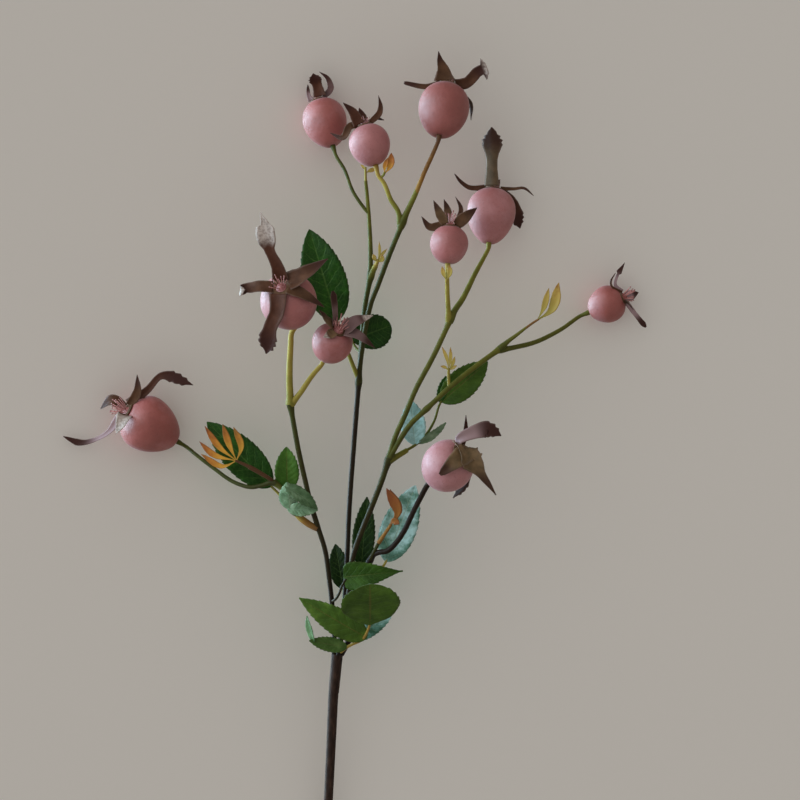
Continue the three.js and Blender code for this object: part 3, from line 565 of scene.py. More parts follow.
def stemGrower():
    grower = Grower("stem along a line", {"Sides": "Int", "Bark depth": "Float", "Bark scale": "Float",
                                          "Seed": "Float", "Paint": "Material"})
    given = grower.given.outputs
    line = grower.node("GeometryNodeMeshToCurve", {}, {"Mesh": given["Geometry"]})
    ring = grower.node("GeometryNodeCurvePrimitiveCircle", {}, {"Resolution": given["Sides"], "Radius": 1.0})
    girth = grower.node("GeometryNodeInputNamedAttribute", {"data_type": "FLOAT"}, {"Name": "girth"})
    stem = grower.node("GeometryNodeCurveToMesh", {}, {"Curve": line, "Profile Curve": ring, "Scale": girth,
                                                       "Fill Caps": True})
    rough = grower.node("ShaderNodeTexNoise", {"noise_dimensions": "4D"},
                        {"Scale": given["Bark scale"], "W": given["Seed"], "Detail": 2.0})
    centred = grower.node("ShaderNodeMath", {"operation": "SUBTRACT"}, {0: rough, 1: 0.5})
    deep = grower.node("ShaderNodeMath", {"operation": "MULTIPLY"}, {0: centred, 1: given["Bark depth"]})
    way = grower.node("GeometryNodeInputNormal")
    offset = grower.node("ShaderNodeVectorMath", {"operation": "SCALE"}, {"Vector": way, "Scale": deep})
    return grower.finish(grower.node("GeometryNodeSetPosition", {}, {"Geometry": stem, "Offset": offset}))


def stamenGrower():
    grower = Grower("stamens on points", {"Thread radius": "Float", "Anther radius": "Float",
                                          "Shortest": "Float", "Longest": "Float", "Seed": "Int",
                                          "Paint": "Material"})
    given = grower.given.outputs
    thread = grower.node("GeometryNodeMeshCone", {}, {"Vertices": 6, "Side Segments": 3, "Depth": 1.0,
                                                      "Radius Top": given["Thread radius"],
                                                      "Radius Bottom": given["Thread radius"]})
    head = grower.node("GeometryNodeMeshIcoSphere", {}, {"Radius": given["Anther radius"], "Subdivisions": 2})
    raised = grower.node("GeometryNodeTransform", {}, {"Geometry": head, "Translation": (0, 0, 1.0)})
    plain = grower.node("GeometryNodeStoreNamedAttribute", {"data_type": "FLOAT", "domain": "POINT"},
                        {"Geometry": thread, "Name": "anther", "Value": 0.0})
    dark = grower.node("GeometryNodeStoreNamedAttribute", {"data_type": "FLOAT", "domain": "POINT"},
                       {"Geometry": raised, "Name": "anther", "Value": 1.0})
    stamen = grower.node("GeometryNodeJoinGeometry", {}, {0: [plain, dark]})
    lean = grower.node("GeometryNodeInputNamedAttribute", {"data_type": "FLOAT_VECTOR"}, {"Name": "lean"})
    reach = grower.node("GeometryNodeInputNamedAttribute", {"data_type": "FLOAT"}, {"Name": "reach"})
    turn = grower.node("FunctionNodeAlignRotationToVector", {"axis": "Z"}, {"Vector": lean})
    vary = grower.node("FunctionNodeRandomValue", {"data_type": "FLOAT"},
                       {2: given["Shortest"], 3: given["Longest"], "Seed": given["Seed"]}, out=1)
    size = grower.node("ShaderNodeMath", {"operation": "MULTIPLY"}, {0: reach, 1: vary})
    return grower.finish(grower.node("GeometryNodeInstanceOnPoints", {},
                                     {"Points": given["Geometry"], "Instance": stamen, "Rotation": turn,
                                      "Scale": size}))


stemTree = stemGrower()
stamenTree = stamenGrower()


# hips: middle, greatest width, length, way from the stalk to the crown, narrowing at the stalk,
# length of the stamens, painted light and shade with some ripeness from deep red -1 to pale lilac 1,
# straight end of the stalk in mm
# sepals: places on the way to the tip with heights over the crown, width in mm, shape, inner face's side,
# shade from mauve -1 to straw 1, place along the sepal where it turns pale
hips = {
    "top_left": {
        "middle": (325, 121, 8.94), "across": 17.8, "length": 21, "axis": (-0.29, 0.91, -0.28),
        "narrow": 0.14, "tuft": 0.4, "bloomAndPaintedLight": 0.02,
        "sepals": [
            {"path": [(317, 84, 2), (312.5, 71, 4)], "width": 5.6, "shape": "broad", "face": (0, -0.4, 1)},
            {"path": [(330, 86, 1), (327, 75.5, 2), (318.5, 69, 2)], "width": 2.6, "shape": "lance",
             "face": (0, -0.4, 1), "shade": -0.35},
            {"path": [(308, 93, 0), (307, 82, 1)], "width": 2.6, "shape": "thread", "face": (0, -0.4, 1),
             "shade": -0.6},
            {"path": [(320, 86, -1.5), (320.5, 79, -1)], "width": 3, "shape": "lance"},
        ],
    },
    "top_mid": {
        "middle": (370, 145, 29), "across": 16.4, "length": 17.6, "axis": (-0.26, 0.95, -0.15), "narrow": 0.1,
        "tuft": 0.6, "bloomAndPaintedLight": 0.26,
        "sepals": [
            {"path": [(353, 112, 2), (343, 102.5, 3)], "width": 5, "shape": "star", "face": (0.2, -0.3, 1)},
            {"path": [(379, 113, 0), (380.5, 106, 1), (378.4, 95, 1)], "width": 2.6, "shape": "lance",
             "face": (0, -0.3, 1)},
            {"path": [(350, 126, 1.5), (343, 137, 1), (330, 132.5, -1)], "width": 3, "shape": "lance",
             "face": (0, 0, 1)},
            {"path": [(361, 113, -3), (359, 107, -3)], "width": 4, "shape": "lance"},
            {"path": [(372, 118, -4), (384, 119, -6)], "width": 3.4, "shape": "lance"},
        ],
    },
    "top_right": {
        "middle": (443.5, 110, 27), "across": 20.4, "length": 24, "axis": (0.15, 0.89, -0.42), "narrow": 0.12,
        "tuft": 0.5, "bloomAndPaintedLight": -0.35, "approach": 1.8,
        "sepals": [
            {"path": [(443, 68, 2), (440, 59, 3), (438.6, 50.7, 4)], "width": 8.6, "shape": "spire",
             "face": (0.2, -0.3, 1), "shade": 0.3},
            {"path": [(467, 81.5, 0.5), (479, 70, 2), (487.5, 67, 3)], "width": 9.6, "shape": "hammer",
             "face": (0, -0.2, 1), "pale": 0.84},
            {"path": [(426, 85.5, -0.5), (404, 81.5, -1)], "width": 2.6, "shape": "ribbon",
             "face": (0, 0, 1)},
            {"path": [(461, 93, -3.8), (470.5, 102.5, -5.4), (471.5, 118.5, -8)], "width": 2.8,
             "shape": "lance"},
            {"path": [(451, 78, -6), (454, 76, -10)], "width": 4, "shape": "lance"},
        ],
    },
    "right_large": {
        "middle": (491.5, 215.5, 17), "across": 19.6, "length": 23.6, "axis": (0.08, 0.95, -0.3),
        "narrow": 0.2, "tuft": 0.5, "bloomAndPaintedLight": 0.2, "approach": 1.8,
        "sepals": [
            {"path": [(492, 160, 2), (492, 126, 5)], "width": 9, "shape": "torch", "shade": 0.55},
            {"path": [(470, 186, -0.5), (461, 180, 0), (455, 172.5, 0.6)], "width": 3, "shape": "thread",
             "face": (0, -0.2, 1)},
            {"path": [(515, 187.5, 0), (525, 187, 0.6), (534.5, 194.6, 1)], "width": 2, "shape": "thread",
             "face": (0, 0, 1)},
            {"path": [(510, 199, -2), (521, 227, -5)], "width": 6.8, "shape": "paddle", "face": (0.4, 0, 1)},
            {"path": [(497, 179, -5), (500, 179, -9)], "width": 4, "shape": "lance"},
        ],
    },
    "right_small": {
        "middle": (449, 245, 34), "across": 15.3, "length": 16, "axis": (0.06, 0.99, -0.1), "narrow": 0.08,
        "bloomAndPaintedLight": 0.14,
        "sepals": [
            {"path": [(430, 227, 0.5), (421.4, 216.5, 1)], "width": 3.4, "shape": "lance",
             "face": (0.2, 0, 1), "shade": 0.4},
            {"path": [(439.5, 213, 3), (433.5, 200.7, 4)], "width": 3.8, "shape": "lance",
             "face": (0, -0.3, 1), "shade": 0.7},
            {"path": [(448, 212, -3.4), (444, 199, -3)], "width": 3.6, "shape": "lance", "face": (0, -0.3, 1),
             "shade": 0.45},
            {"path": [(464, 218, 1.5), (477, 208, 3)], "width": 5, "shape": "lance", "face": (0, -0.3, 1),
             "shade": 0.35},
            {"path": [(461, 209, -2), (455.5, 196.6, -2)], "width": 2.2, "shape": "lance",
             "face": (0, -0.3, 1)},
        ],
    },
    "mid_left_large": {
        "middle": (290, 303, 50), "across": 22.5, "length": 24, "axis": (-0.27, 0.5, 0.82), "narrow": 0.1,
        "approach": 2.5, "bloomAndPaintedLight": 0.14,
        "sepals": [
            {"path": [(279, 268, 1), (271, 251, 2.4), (267.5, 236, 4.4), (266.5, 226, 5.2), (262, 214.6, 6)],
             "width": 8, "shape": "flag", "pale": 0.5},
            {"path": [(306, 275, 0.5), (328.5, 260, -2)], "width": 8.6, "shape": "star"},
            {"path": [(305, 296, 1.6), (325, 308, -1)], "width": 5.4, "shape": "star"},
            {"path": [(279, 311, 1.2), (272, 328, -1.6), (267, 354, -8)], "width": 8, "shape": "broad"},
            {"path": [(262, 288, -0.6), (246, 290, -2.6), (242, 292, -0.6), (245, 293, 0.6)], "width": 5.8,
             "shape": "ribbon", "pale": 0.8},
        ],
    },
    "mid_left_small": {
        "middle": (332, 344, 44), "across": 16.3, "length": 17, "axis": (0.33, 0.66, 0.67), "narrow": 0.1,
        "bloomAndPaintedLight": 0.04,
        "sepals": [
            {"path": [(335, 312, 2), (333, 292, 4)], "width": 3.6, "shape": "band", "shade": -0.4},
            {"path": [(357, 322, -0.5), (373, 316, -3)], "width": 6.8, "shape": "star", "shade": -0.4,
             "pale": 0.6},
            {"path": [(358, 336, 0), (375, 348, -5)], "width": 6.2, "shape": "star", "shade": -0.45},
            {"path": [(328, 322, 2.6), (319.5, 310.5, 4)], "width": 5, "shape": "lance", "shade": 0.7},
            {"path": [(331, 335, 3), (324, 337.5, 4.2)], "width": 4.4, "shape": "lance", "shade": 0.6,
             "pale": 0.6},
        ],
    },
    "far_right": {
        "middle": (608, 304, 6.9), "across": 15, "length": 15.5, "axis": (0.9, 0.39, 0.17), "narrow": 0.14,
        "sepals": [
            {"path": [(617, 284, 1), (618.5, 276, 1.5), (626.5, 261.5, 2)], "width": 2.4, "shape": "arrow",
             "face": (0, 0, 1), "shade": -0.9},
            {"path": [(613, 285, 3), (612.5, 280, 3.6), (617, 272, 4)], "width": 1.4, "shape": "thread",
             "face": (0, 0, 1)},
            {"path": [(634, 294, -2.6), (640.7, 291.5, -2)], "width": 4.6, "shape": "lance", "shade": -0.8},
            {"path": [(636, 312, 0), (648, 326.5, -3)], "width": 2.2, "shape": "band", "face": (0, 0, 1),
             "shade": -0.7},
            {"path": [(630, 303, 3), (635, 309, 3)], "width": 2.4, "shape": "lance"},
        ],
    },
    "left": {
        "middle": (149.5, 426.5, 10.07), "across": 22.6, "length": 25, "axis": (-0.83, 0.49, 0.27),
        "narrow": 0.24, "tuft": 1.2, "bloomAndPaintedLight": -0.08,
        "sepals": [
            {"path": [(104, 434, -5), (78, 443, -9), (60, 436.6, -9)], "width": 4, "shape": "whip",
             "face": (0, 0, 1), "shade": -1.0},
            {"path": [(110, 400, -3), (98, 409, -6)], "width": 5, "shape": "lance", "face": (-0.4, 0.2, 1)},
            {"path": [(136, 392, 4), (136, 374.4, 5)], "width": 3.8, "shape": "lance",
             "face": (-0.2, -0.4, 1)},
            {"path": [(146, 390, 1.6), (161, 375.5, 3), (192, 385, 4)], "width": 5, "shape": "strap",
             "face": (0, 0, 1)},
            {"path": [(122, 419, 8), (115, 434, 7.4)], "width": 6, "shape": "lance", "face": (-0.3, 0, 1),
             "pale": 0.1},
        ],
    },
    "low_right": {
        "middle": (447, 466, 44), "across": 20.6, "length": 22, "axis": (0.56, 0.53, 0.64), "narrow": 0.06,
        "approach": 2.5, "tuft": 0.4, "bloomAndPaintedLight": 0.38,
        "sepals": [
            {"path": [(464, 436, 1), (465.5, 415, 2)], "width": 4, "shape": "star"},
            {"path": [(459.5, 438.5, 2.4), (470, 433, 3), (486, 429, 2), (500.5, 435.5, 0.6)], "width": 6.8,
             "shape": "paddle", "face": (0, -0.2, 1), "shade": -0.9},
            {"root": (466.5, 451.5, 2), "path": [(454, 461, 5), (439.5, 474, 4.6)], "width": 8.4,
             "shape": "tongue", "shade": 1.0},
            {"root": (455, 442, 0.6), "path": [(464, 452, 2.8), (475, 465, 1.8), (485, 479, -1.5),
                                               (495.5, 494.5, -5)],
             "width": 9.6, "shape": "kite", "shade": 1.0},
            {"path": [(473.5, 461, -7.5), (466, 480, -12.7), (453, 498, -15.5)], "width": 5.6,
             "shape": "strap"},
        ],
    },
}
flesh = {"segments": 56, "rings": 44, "crownShare": 0.855, "dimple": 0.7, "dimpleReach": 0.22,
         "wobble": 0.014, "wobbleScale": 1.3, "drift": 3.1,
         "shoulder": ((0.8, 0.25), (0.5, 0.5)),  # share of the brim's radius, rise over the brim
         "knob": ((1.4, 1.4), (0.8, 2.0), (0, 2.2))}  # radius, rise over the brim
tuft = {"count": 15, "spread": 1.5, "sink": 0.2, "lean": 0.6, "leanRange": (0.7, 1.3), "reach": 5.2,
        "reachRange": (0.8, 1.1), "lengthRange": (0.75, 1.15), "turn": 2.39996, "turnSlack": 0.3,
        "thread": 0.028, "anther": 0.055}
hoop = {"inner": 2.0, "share": 0.2, "height": 1.1, "drop": 0.55, "turns": 40, "corners": 10, "shade": 0.4}
for hip in hips.values():
    hip["way"] = Vector(hip["axis"]).normalized()
    hip["base"] = at(hip["middle"]) - hip["way"] * hip["length"] / 2 * mm
    hip["crown"] = at(hip["middle"]) + hip["way"] * hip["length"] / 2 * mm
    hip["right"] = hip["way"].orthogonal().normalized()
    hip["front"] = hip["way"].cross(hip["right"])


def onHip(hip, radius, angle, height):  # a spot round the axis, with its height over the stalk end
    return (hip["base"] + hip["way"] * height
            + (hip["right"] * math.cos(angle) + hip["front"] * math.sin(angle)) * radius)


def growFlesh(name, hip):
    half, length, narrow = hip["across"] / 2 * mm, hip["length"] * mm, hip["narrow"]
    stop, turns = math.pi * flesh["crownShare"], flesh["segments"]
    drift = Vector((len(name) * flesh["drift"], hip["across"], hip["length"]))
    profile = []
    for ring in range(flesh["rings"] + 1):
        angle = stop * ring / flesh["rings"]
        swell = math.sin(angle) * (1 - narrow * math.cos(angle)) / (1 + 0.5 * narrow ** 2)
        dent = flesh["dimple"] * mm * math.exp(-(angle / flesh["dimpleReach"]) ** 2)
        profile.append((half * swell, length * (1 - math.cos(angle)) / 2 + dent))
    edge, brim = profile[-1]
    profile += [(edge * share, brim + rise * mm) for share, rise in flesh["shoulder"]]
    profile += [(radius * mm, brim + rise * mm) for radius, rise in flesh["knob"]]
    rings = []
    for radius, height in profile:
        ring = []
        for step in range(turns):
            angle = 2 * math.pi * step / turns
            place = Vector((math.cos(angle), math.sin(angle), height / half)) * flesh["wobbleScale"] + drift
            spot = onHip(hip, radius * (1 + flesh["wobble"] * noise.noise(place)), angle, height)
            spot.z = max(spot.z, 0)
            ring.append(spot)
        rings.append(ring)
    pile = Pile()
    # each hip's painted light and shade value goes to its skin
    pile.shell(rings, {"shade": hip.get("bloomAndPaintedLight", 0.0)})
    return pile.finish(f"hip_{name}_flesh", f"hip_{name}", paints["flesh"])


def growStamens(name, hip):
    chance = random.Random(name)
    spots, leans, reaches = [], [], []
    for i in range(tuft["count"]):
        share = math.sqrt((i + 0.5) / tuft["count"])
        angle = i * tuft["turn"] + chance.uniform(-tuft["turnSlack"], tuft["turnSlack"])
        out = hip["right"] * math.cos(angle) + hip["front"] * math.sin(angle)
        spots.append(hip["crown"] + out * share * tuft["spread"] * mm - hip["way"] * tuft["sink"] * mm)
        leans.extend(hip["way"] + out * share * tuft["lean"] * chance.uniform(*tuft["leanRange"]))
        reaches.append(tuft["reach"] * hip.get("tuft", 1) * mm * chance.uniform(*tuft["reachRange"]))
    stamenTree.grow(f"hip_{name}_stamens", f"hip_{name}", spots, [],
                    {"lean": ("FLOAT_VECTOR", leans), "reach": ("FLOAT", reaches)},
                    {"Thread radius": tuft["thread"], "Anther radius": tuft["anther"],
                     "Shortest": tuft["lengthRange"][0], "Longest": tuft["lengthRange"][1],
                     "Seed": len(name), "Paint": paints["stamen"]})


sepalShapes = {  # place along the length, share of the width
    "lance": [(0, 0.8), (0.18, 0.95), (0.36, 1), (0.6, 0.8), (0.8, 0.46), (0.93, 0.2), (1, 0.04)],
    "spire": [(0, 1), (0.2, 0.76), (0.4, 0.55), (0.6, 0.38), (0.8, 0.21), (0.93, 0.09), (1, 0.04)],
    "flag": [(0, 0.86), (0.12, 0.74), (0.25, 0.6), (0.4, 0.5), (0.48, 0.56), (0.56, 0.86), (0.64, 1),
             (0.74, 0.97), (0.8, 0.92), (0.825, 0.5), (0.88, 0.34), (0.94, 0.2), (1, 0.05)],
    "torch": [(0, 0.68), (0.15, 0.6), (0.3, 0.53), (0.45, 0.53), (0.55, 0.64), (0.63, 0.82), (0.7, 1),
              (0.735, 0.84), (0.78, 0.97), (0.81, 0.72), (0.85, 0.8), (0.88, 0.5), (0.93, 0.4), (1, 0.06)],
    "paddle": [(0, 0.36), (0.15, 0.52), (0.3, 0.7), (0.5, 0.86), (0.62, 0.95), (0.71, 1), (0.735, 0.84),
               (0.8, 0.92), (0.83, 0.64), (0.89, 0.66), (0.915, 0.4), (1, 0.06)],
    "kite": [(0, 0.7), (0.15, 0.9), (0.26, 1), (0.28, 1.14), (0.3, 0.96), (0.35, 0.94), (0.37, 1.08),
             (0.39, 0.86), (0.48, 0.7), (0.56, 0.52), (0.66, 0.38), (0.8, 0.25), (0.93, 0.11), (1, 0.04)],
    "tongue": [(0, 1), (0.25, 0.94), (0.5, 0.74), (0.75, 0.5), (0.9, 0.36), (1, 0.16)],
    "star": [(0, 1), (0.2, 0.97), (0.4, 0.82), (0.6, 0.62), (0.8, 0.36), (0.93, 0.16), (1, 0.04)],
    "strap": [(0, 0.95), (0.12, 0.86), (0.25, 0.66), (0.4, 0.55), (0.52, 0.53), (0.6, 0.62), (0.66, 0.8),
              (0.71, 1), (0.735, 0.78), (0.8, 0.98), (0.83, 0.66), (0.89, 0.76), (0.915, 0.42), (1, 0.06)],
    "broad": [(0, 0.95), (0.2, 0.82), (0.4, 0.72), (0.55, 0.72), (0.64, 0.82), (0.71, 1), (0.735, 0.82),
              (0.8, 0.98), (0.83, 0.7), (0.89, 0.76), (0.915, 0.42), (1, 0.06)],
    "band": [(0, 0.9), (0.25, 0.86), (0.5, 0.84), (0.7, 0.92), (0.86, 1), (0.93, 0.8), (1, 0.35)],
    "ribbon": [(0, 1), (0.2, 0.95), (0.4, 0.88), (0.8, 0.72), (0.95, 0.62), (1, 0.4)],
    "hammer": [(0, 0.46), (0.2, 0.48), (0.5, 0.47), (0.8, 0.44), (0.86, 0.46), (0.895, 0.8), (0.92, 1),
               (0.94, 0.8), (0.96, 0.86), (0.975, 0.6), (1, 0.5)],
    "thread": [(0, 1), (0.15, 0.82), (0.3, 0.68), (0.7, 0.52), (0.9, 0.3), (1, 0.1)],
    "whip": [(0, 1), (0.14, 0.8), (0.3, 0.5), (0.5, 0.4), (0.66, 0.52), (0.8, 0.7), (0.92, 0.4), (1, 0.08)],
    "arrow": [(0, 0.9), (0.2, 0.6), (0.4, 0.5), (0.62, 0.45), (0.67, 1), (0.8, 0.62), (1, 0.06)],
    "young": [(0, 0.14), (0.16, 0.2), (0.3, 0.46), (0.45, 0.84), (0.6, 1), (0.75, 0.86), (0.9, 0.45),
              (1, 0.06)],
}
sepalLook = {"columns": 9, "thick": 0.34, "cup": 0.22, "ripple": 0.16, "ragged": 0.06, "rows": 30,
             "rootLift": 0.2, "shadeStep": 0.12, "seedStep": 7.3}
raggedEdge = {"sides": ((0.0, 3.7), (0.012, 11.3)),  # shift along, place in the noise
              "pace": 11, "narrowest": 0.05}
rippling = {"along": 3.1, "across": 1.2, "middle": 0.3}


def shareAt(shape, along):
    for (a, low), (b, high) in zip(shape, shape[1:]):
        if along <= b:
            return blend(low, high, (along - a) / (b - a))
    return shape[-1][1]


def sheetRows(shape, width, look, seed):
    alongs = {round(i / look["rows"], 4) for i in range(look["rows"] + 1)}
    alongs |= {along for along, share in shape}
    rows = []
    for along in sorted(alongs):
        sides = []
        for shift, place in raggedEdge["sides"]:
            rag = 1 + look["ragged"] * noise.noise(Vector((along * raggedEdge["pace"], place, seed)))
            half = width / 2 * shareAt(shape, min(1, along + shift)) * rag
            sides.append(max(raggedEdge["narrowest"], half) * mm)
        rows.append({"along": along, "left": sides[0], "right": sides[1], "tooth": 0.0, "ahead": 0.0})
    return rows


def softLift(look, seed):  # hollow across, rippled along the edges
    def lift(along, share, half):
        wave = noise.noise(Vector((along * rippling["along"], share * rippling["across"], seed)))
        ripple = look["ripple"] * wave * (rippling["middle"] + abs(share))
        return half * (look["cup"] * share * share + ripple)
    return lift


def growCalyx(name, hip):
    pile = Pile()
    outer, inner = hoop["share"] * hip["across"], hoop["inner"]
    low, turns = hip["length"] - hoop["drop"] - hoop["height"] / 2, hoop["turns"]
    loops = []
    for step in range(turns):
        angle = 2 * math.pi * step / turns
        loop = []
        for corner in range(hoop["corners"]):
            bend = 2 * math.pi * corner / hoop["corners"]
            radius = (outer + inner) / 2 + (outer - inner) / 2 * math.cos(bend)
            height = low + hoop["height"] / 2 * (1 + math.sin(bend))
            loop.append(onHip(hip, radius * mm, angle, height * mm))
        loops.append(loop)
    pile.ring(loops, {"shade": hoop["shade"]})
    for count, sepal in enumerate(hip["sepals"]):
        seed = count * sepalLook["seedStep"] + len(name)
        lifted = [at(place) + upward * hip["crown"].z for place in sepal["path"]]
        out = lifted[0] - hip["crown"]
        out = (out - hip["way"] * out.dot(hip["way"])).normalized()
        root = hip["crown"] + hip["way"] * sepalLook["rootLift"] * mm + out * (inner + outer) / 2 * mm
        if "root" in sepal:  # one that lies over the crown
            root = at(sepal["root"]) + upward * hip["crown"].z
        line = smoothLine([root, *lifted])
        across = out.cross(hip["way"])
        if "face" in sepal:
            across = (line[-1] - root).cross(Vector(sepal["face"]))
        look = {**sepalLook, "thick": sepalLook["thick"] * mm, "lift": softLift(sepalLook, seed),
                "shade": sepal.get("shade", sepalLook["shadeStep"] * (count % 3)),
                "warm": sepal.get("pale", 0.0)}
        rows = sheetRows(sepalShapes[sepal["shape"]], sepal["width"], sepalLook, seed)
        pile.sheet(line, across.normalized(), rows, look)
    return pile.finish(f"calyx_{name}_sepals", f"calyx_{name}", paints["sepal"])


for name, hip in hips.items():
    growFlesh(name, hip)
    growStamens(name, hip)
    growCalyx(name, hip)
print("hips grown:", len(hips))


# stems: runs of places with radii in mm, tints from brown 0 over yellow 1 to brown 1.5, and the end's hip
stalkDepth = 2.0
headRoot = [(334, 656, 20), (337, 656, 18.6), (338, 656, 21.4), (341, 656, 19.7)]
stems = {
    "main_stem": {
        "runs": [
            ([(322, 912, 2.2), (325, 850, 5), (328, 800, 8), (331, 740, 13), (333.5, 690, 17),
              (336, 664, 19.4)], (1.6, 2.05), (0, 0), None),
            ([(333.5, 694, 16.7), (335.5, 672, 18.6), (337, 655, 20)], (2.05, 2.3), (0, 0), None),
        ],
        "knots": [],
    },
    "left_branch": {
        "runs": [
            ([headRoot[0], (334, 632, 21.4), (332, 606, 22.3), (328.5, 575, 23.8), (325, 551, 25.5),
              (318, 528, 27), (311, 505, 29), (305, 480, 30), (298, 448, 32.5), (290.5, 405, 35)],
             (0.95, 1.05), (-0.1, 0.45), None),
            ([(290.5, 405, 35), (289.5, 375, 35), (290.8, 345, 35.6), (291.8, 333, 36)], (1.5, 0.95),
             (0.78, 1.06), "mid_left_large"),
            ([(290.5, 405, 35), (300, 393.5, 35.5), (312, 376, 35.4)], (1.2, 0.85), (0.85, 1.05),
             "mid_left_small"),
            ([(317.5, 529, 27), (309, 524.5, 26.6), (297, 515, 26), (288, 503, 25), (282, 490, 24),
              (273, 482, 23)], (1.2, 0.85), (1.42, 0.45), None),
            ([(276, 484, 23.4), (271, 482.5, 22.8), (262, 485.5, 21.8), (250, 487.5, 20), (232, 482, 16.5),
              (213, 469, 13), (195, 455.5, 9.6)], (0.85, 0.75), (0.35, 0.55), "left"),
        ],
        "knots": [((290.5, 405, 35), 0.5, 2.4), ((273, 482.5, 23), 0.5, 2.6), ((305, 521, 26.4), 0.25, 4)],
    },
    "centre_branch": {
        "runs": [
            ([headRoot[1], (341.5, 632, 18), (344, 605, 18.3), (345.5, 580, 19), (347, 556, 19.5),
              (349, 510, 20), (354, 440, 21), (358, 390, 22), (358.6, 383, 22)],
             (0.95, 1.05), (0, 0.08), None),
            ([(358, 390, 22), (358.6, 383, 22), (361, 350, 22), (365, 305, 22), (370, 278, 22)],
             (1.05, 1.05), (0.42, 0.5), None),
            ([(370, 278, 22), (370.5, 255, 21.5), (369, 220, 20), (367, 195, 20), (365.5, 180, 20.5)],
             (1.05, 0.7), (0.5, 0.7), None),
            ([(370, 279, 22), (372.5, 272, 22.8), (375.5, 265.5, 23.6)], (1.05, 1.05), (0.5, 0.85), None),
            ([(368, 212, 20), (364.5, 208, 19.8), (353, 191, 18.5), (344, 168, 15)], (0.7, 0.7), (0.5, 0.54),
             "top_left"),
            ([(358, 389, 21.9), (358.4, 380, 22.2), (360.8, 358, 23.2), (365, 330, 25), (371, 303, 26.5),
              (378, 285, 27.4), (388.5, 257, 28.8), (402, 224, 30)], (1.0, 1.05), (0.3, 0.5), None),
            ([(400, 228, 29.8), (406, 214, 30.6), (415, 195, 31.6), (417, 190, 31.8)], (1.3, 1.0),
             (0.5, 0.74), None),
            ([(413, 199, 31.4), (415, 195, 31.6), (425, 171, 32.8), (432, 156, 33.6)], (1.02, 0.75),
             (1.12, 1.55), "top_right"),
            ([(401, 226, 29.9), (398, 211, 30.4), (391, 200, 30.6), (384, 183, 30.9)], (1.05, 0.75),
             (0.55, 1.2), "top_mid"),
        ],
        "knots": [((401, 222, 30), 0.5, 2.4), ((371, 277, 22), 0.4, 2.4), ((358.8, 382, 22), 0.4, 2.2)],
    },
    "right_branch": {
        "runs": [
            ([headRoot[2], (342, 634, 23.5), (346.5, 608, 25.3), (350, 583, 27), (353, 557, 28.7),
              (361, 533, 30.3), (370, 511, 31.8), (382, 480, 33.2), (389, 458, 33.8)],
             (0.95, 1.2), (0, 0.35), None),
            ([(388, 461, 33.7), (394, 440, 33.4), (405, 415, 32.3), (416, 389, 31.4), (433, 357, 30),
              (447, 327, 28.8), (451, 317, 28.3)], (1.05, 1.05), (0.5, 0.65), None),
            ([(449, 322, 28.5), (455, 310, 27.8), (462.5, 299, 26.8), (475, 274, 24)], (1.3, 0.75),
             (0.58, 0.84), "right_large"),
            ([(449, 322, 28.5), (448, 305, 30.5), (447.3, 290, 33)], (1.05, 0.75), (0.8, 1.05),
             "right_small"),
            ([(388, 461, 33.7), (396, 446.5, 34), (410, 425, 34), (427, 408.6, 33.4), (453, 384.5, 31.8),
              (481, 362.5, 28.5), (502, 347.5, 25.5)], (1.05, 1.05), (0.5, 0.65), None),
            ([(499, 350, 25.8), (514, 347.4, 23.5), (536.5, 341.6, 18.6), (562, 329, 11)], (1.05, 0.75),
             (0.55, 0.6), "far_right"),
            ([(499, 350, 25.8), (508, 341.5, 26.2), (518, 334, 27), (527, 327, 27.6)], (1.1, 0.5),
             (0.5, 0.7), None),
            ([(388, 461, 33.7), (397.5, 456, 31.6), (407, 450.3, 29.5)], (1.3, 1), (0.6, 0.75), None),
        ],
        "knots": [((388, 460, 33.7), 0.45, 2.6), ((450, 319, 28.4), 0.45, 2.6), ((428, 410, 33.4), 0.35, 1.6),
                  ((501, 348.5, 25.6), 0.45, 2.4)],
    },
    "low_branch": {
        "runs": [
            ([headRoot[3], (349, 640, 20.4), (354, 620, 22), (359, 600, 24), (365, 578, 26.5),
              (369, 563, 28.5), (373.5, 555, 30.3), (379, 552.3, 32), (387, 551, 33.8), (395, 544, 35.2),
              (404, 531, 36.3), (413.5, 511, 36.9), (420.5, 497.5, 36.5)],
             (1.1, 1.1), (-0.1, 0.05), "low_right"),
            ([(369, 563, 28.5), (373, 554, 31), (378, 544, 33.4)], (0.85, 0.7), (0.2, 0.4), None),
        ],
        "knots": [((370, 561, 28.8), 0.35, 2.2)],
    },
}
bark = {"sides": 14, "pitch": 1.1, "fewest": 6, "depth": 0.16, "scale": 420.0, "collar": 0.35,
        "collarReach": 1.6, "approach": 4, "neck": 1}
stalkLook = {"sides": 10, "pitch": 0.9, "fewest": 6, "depth": 0.08}


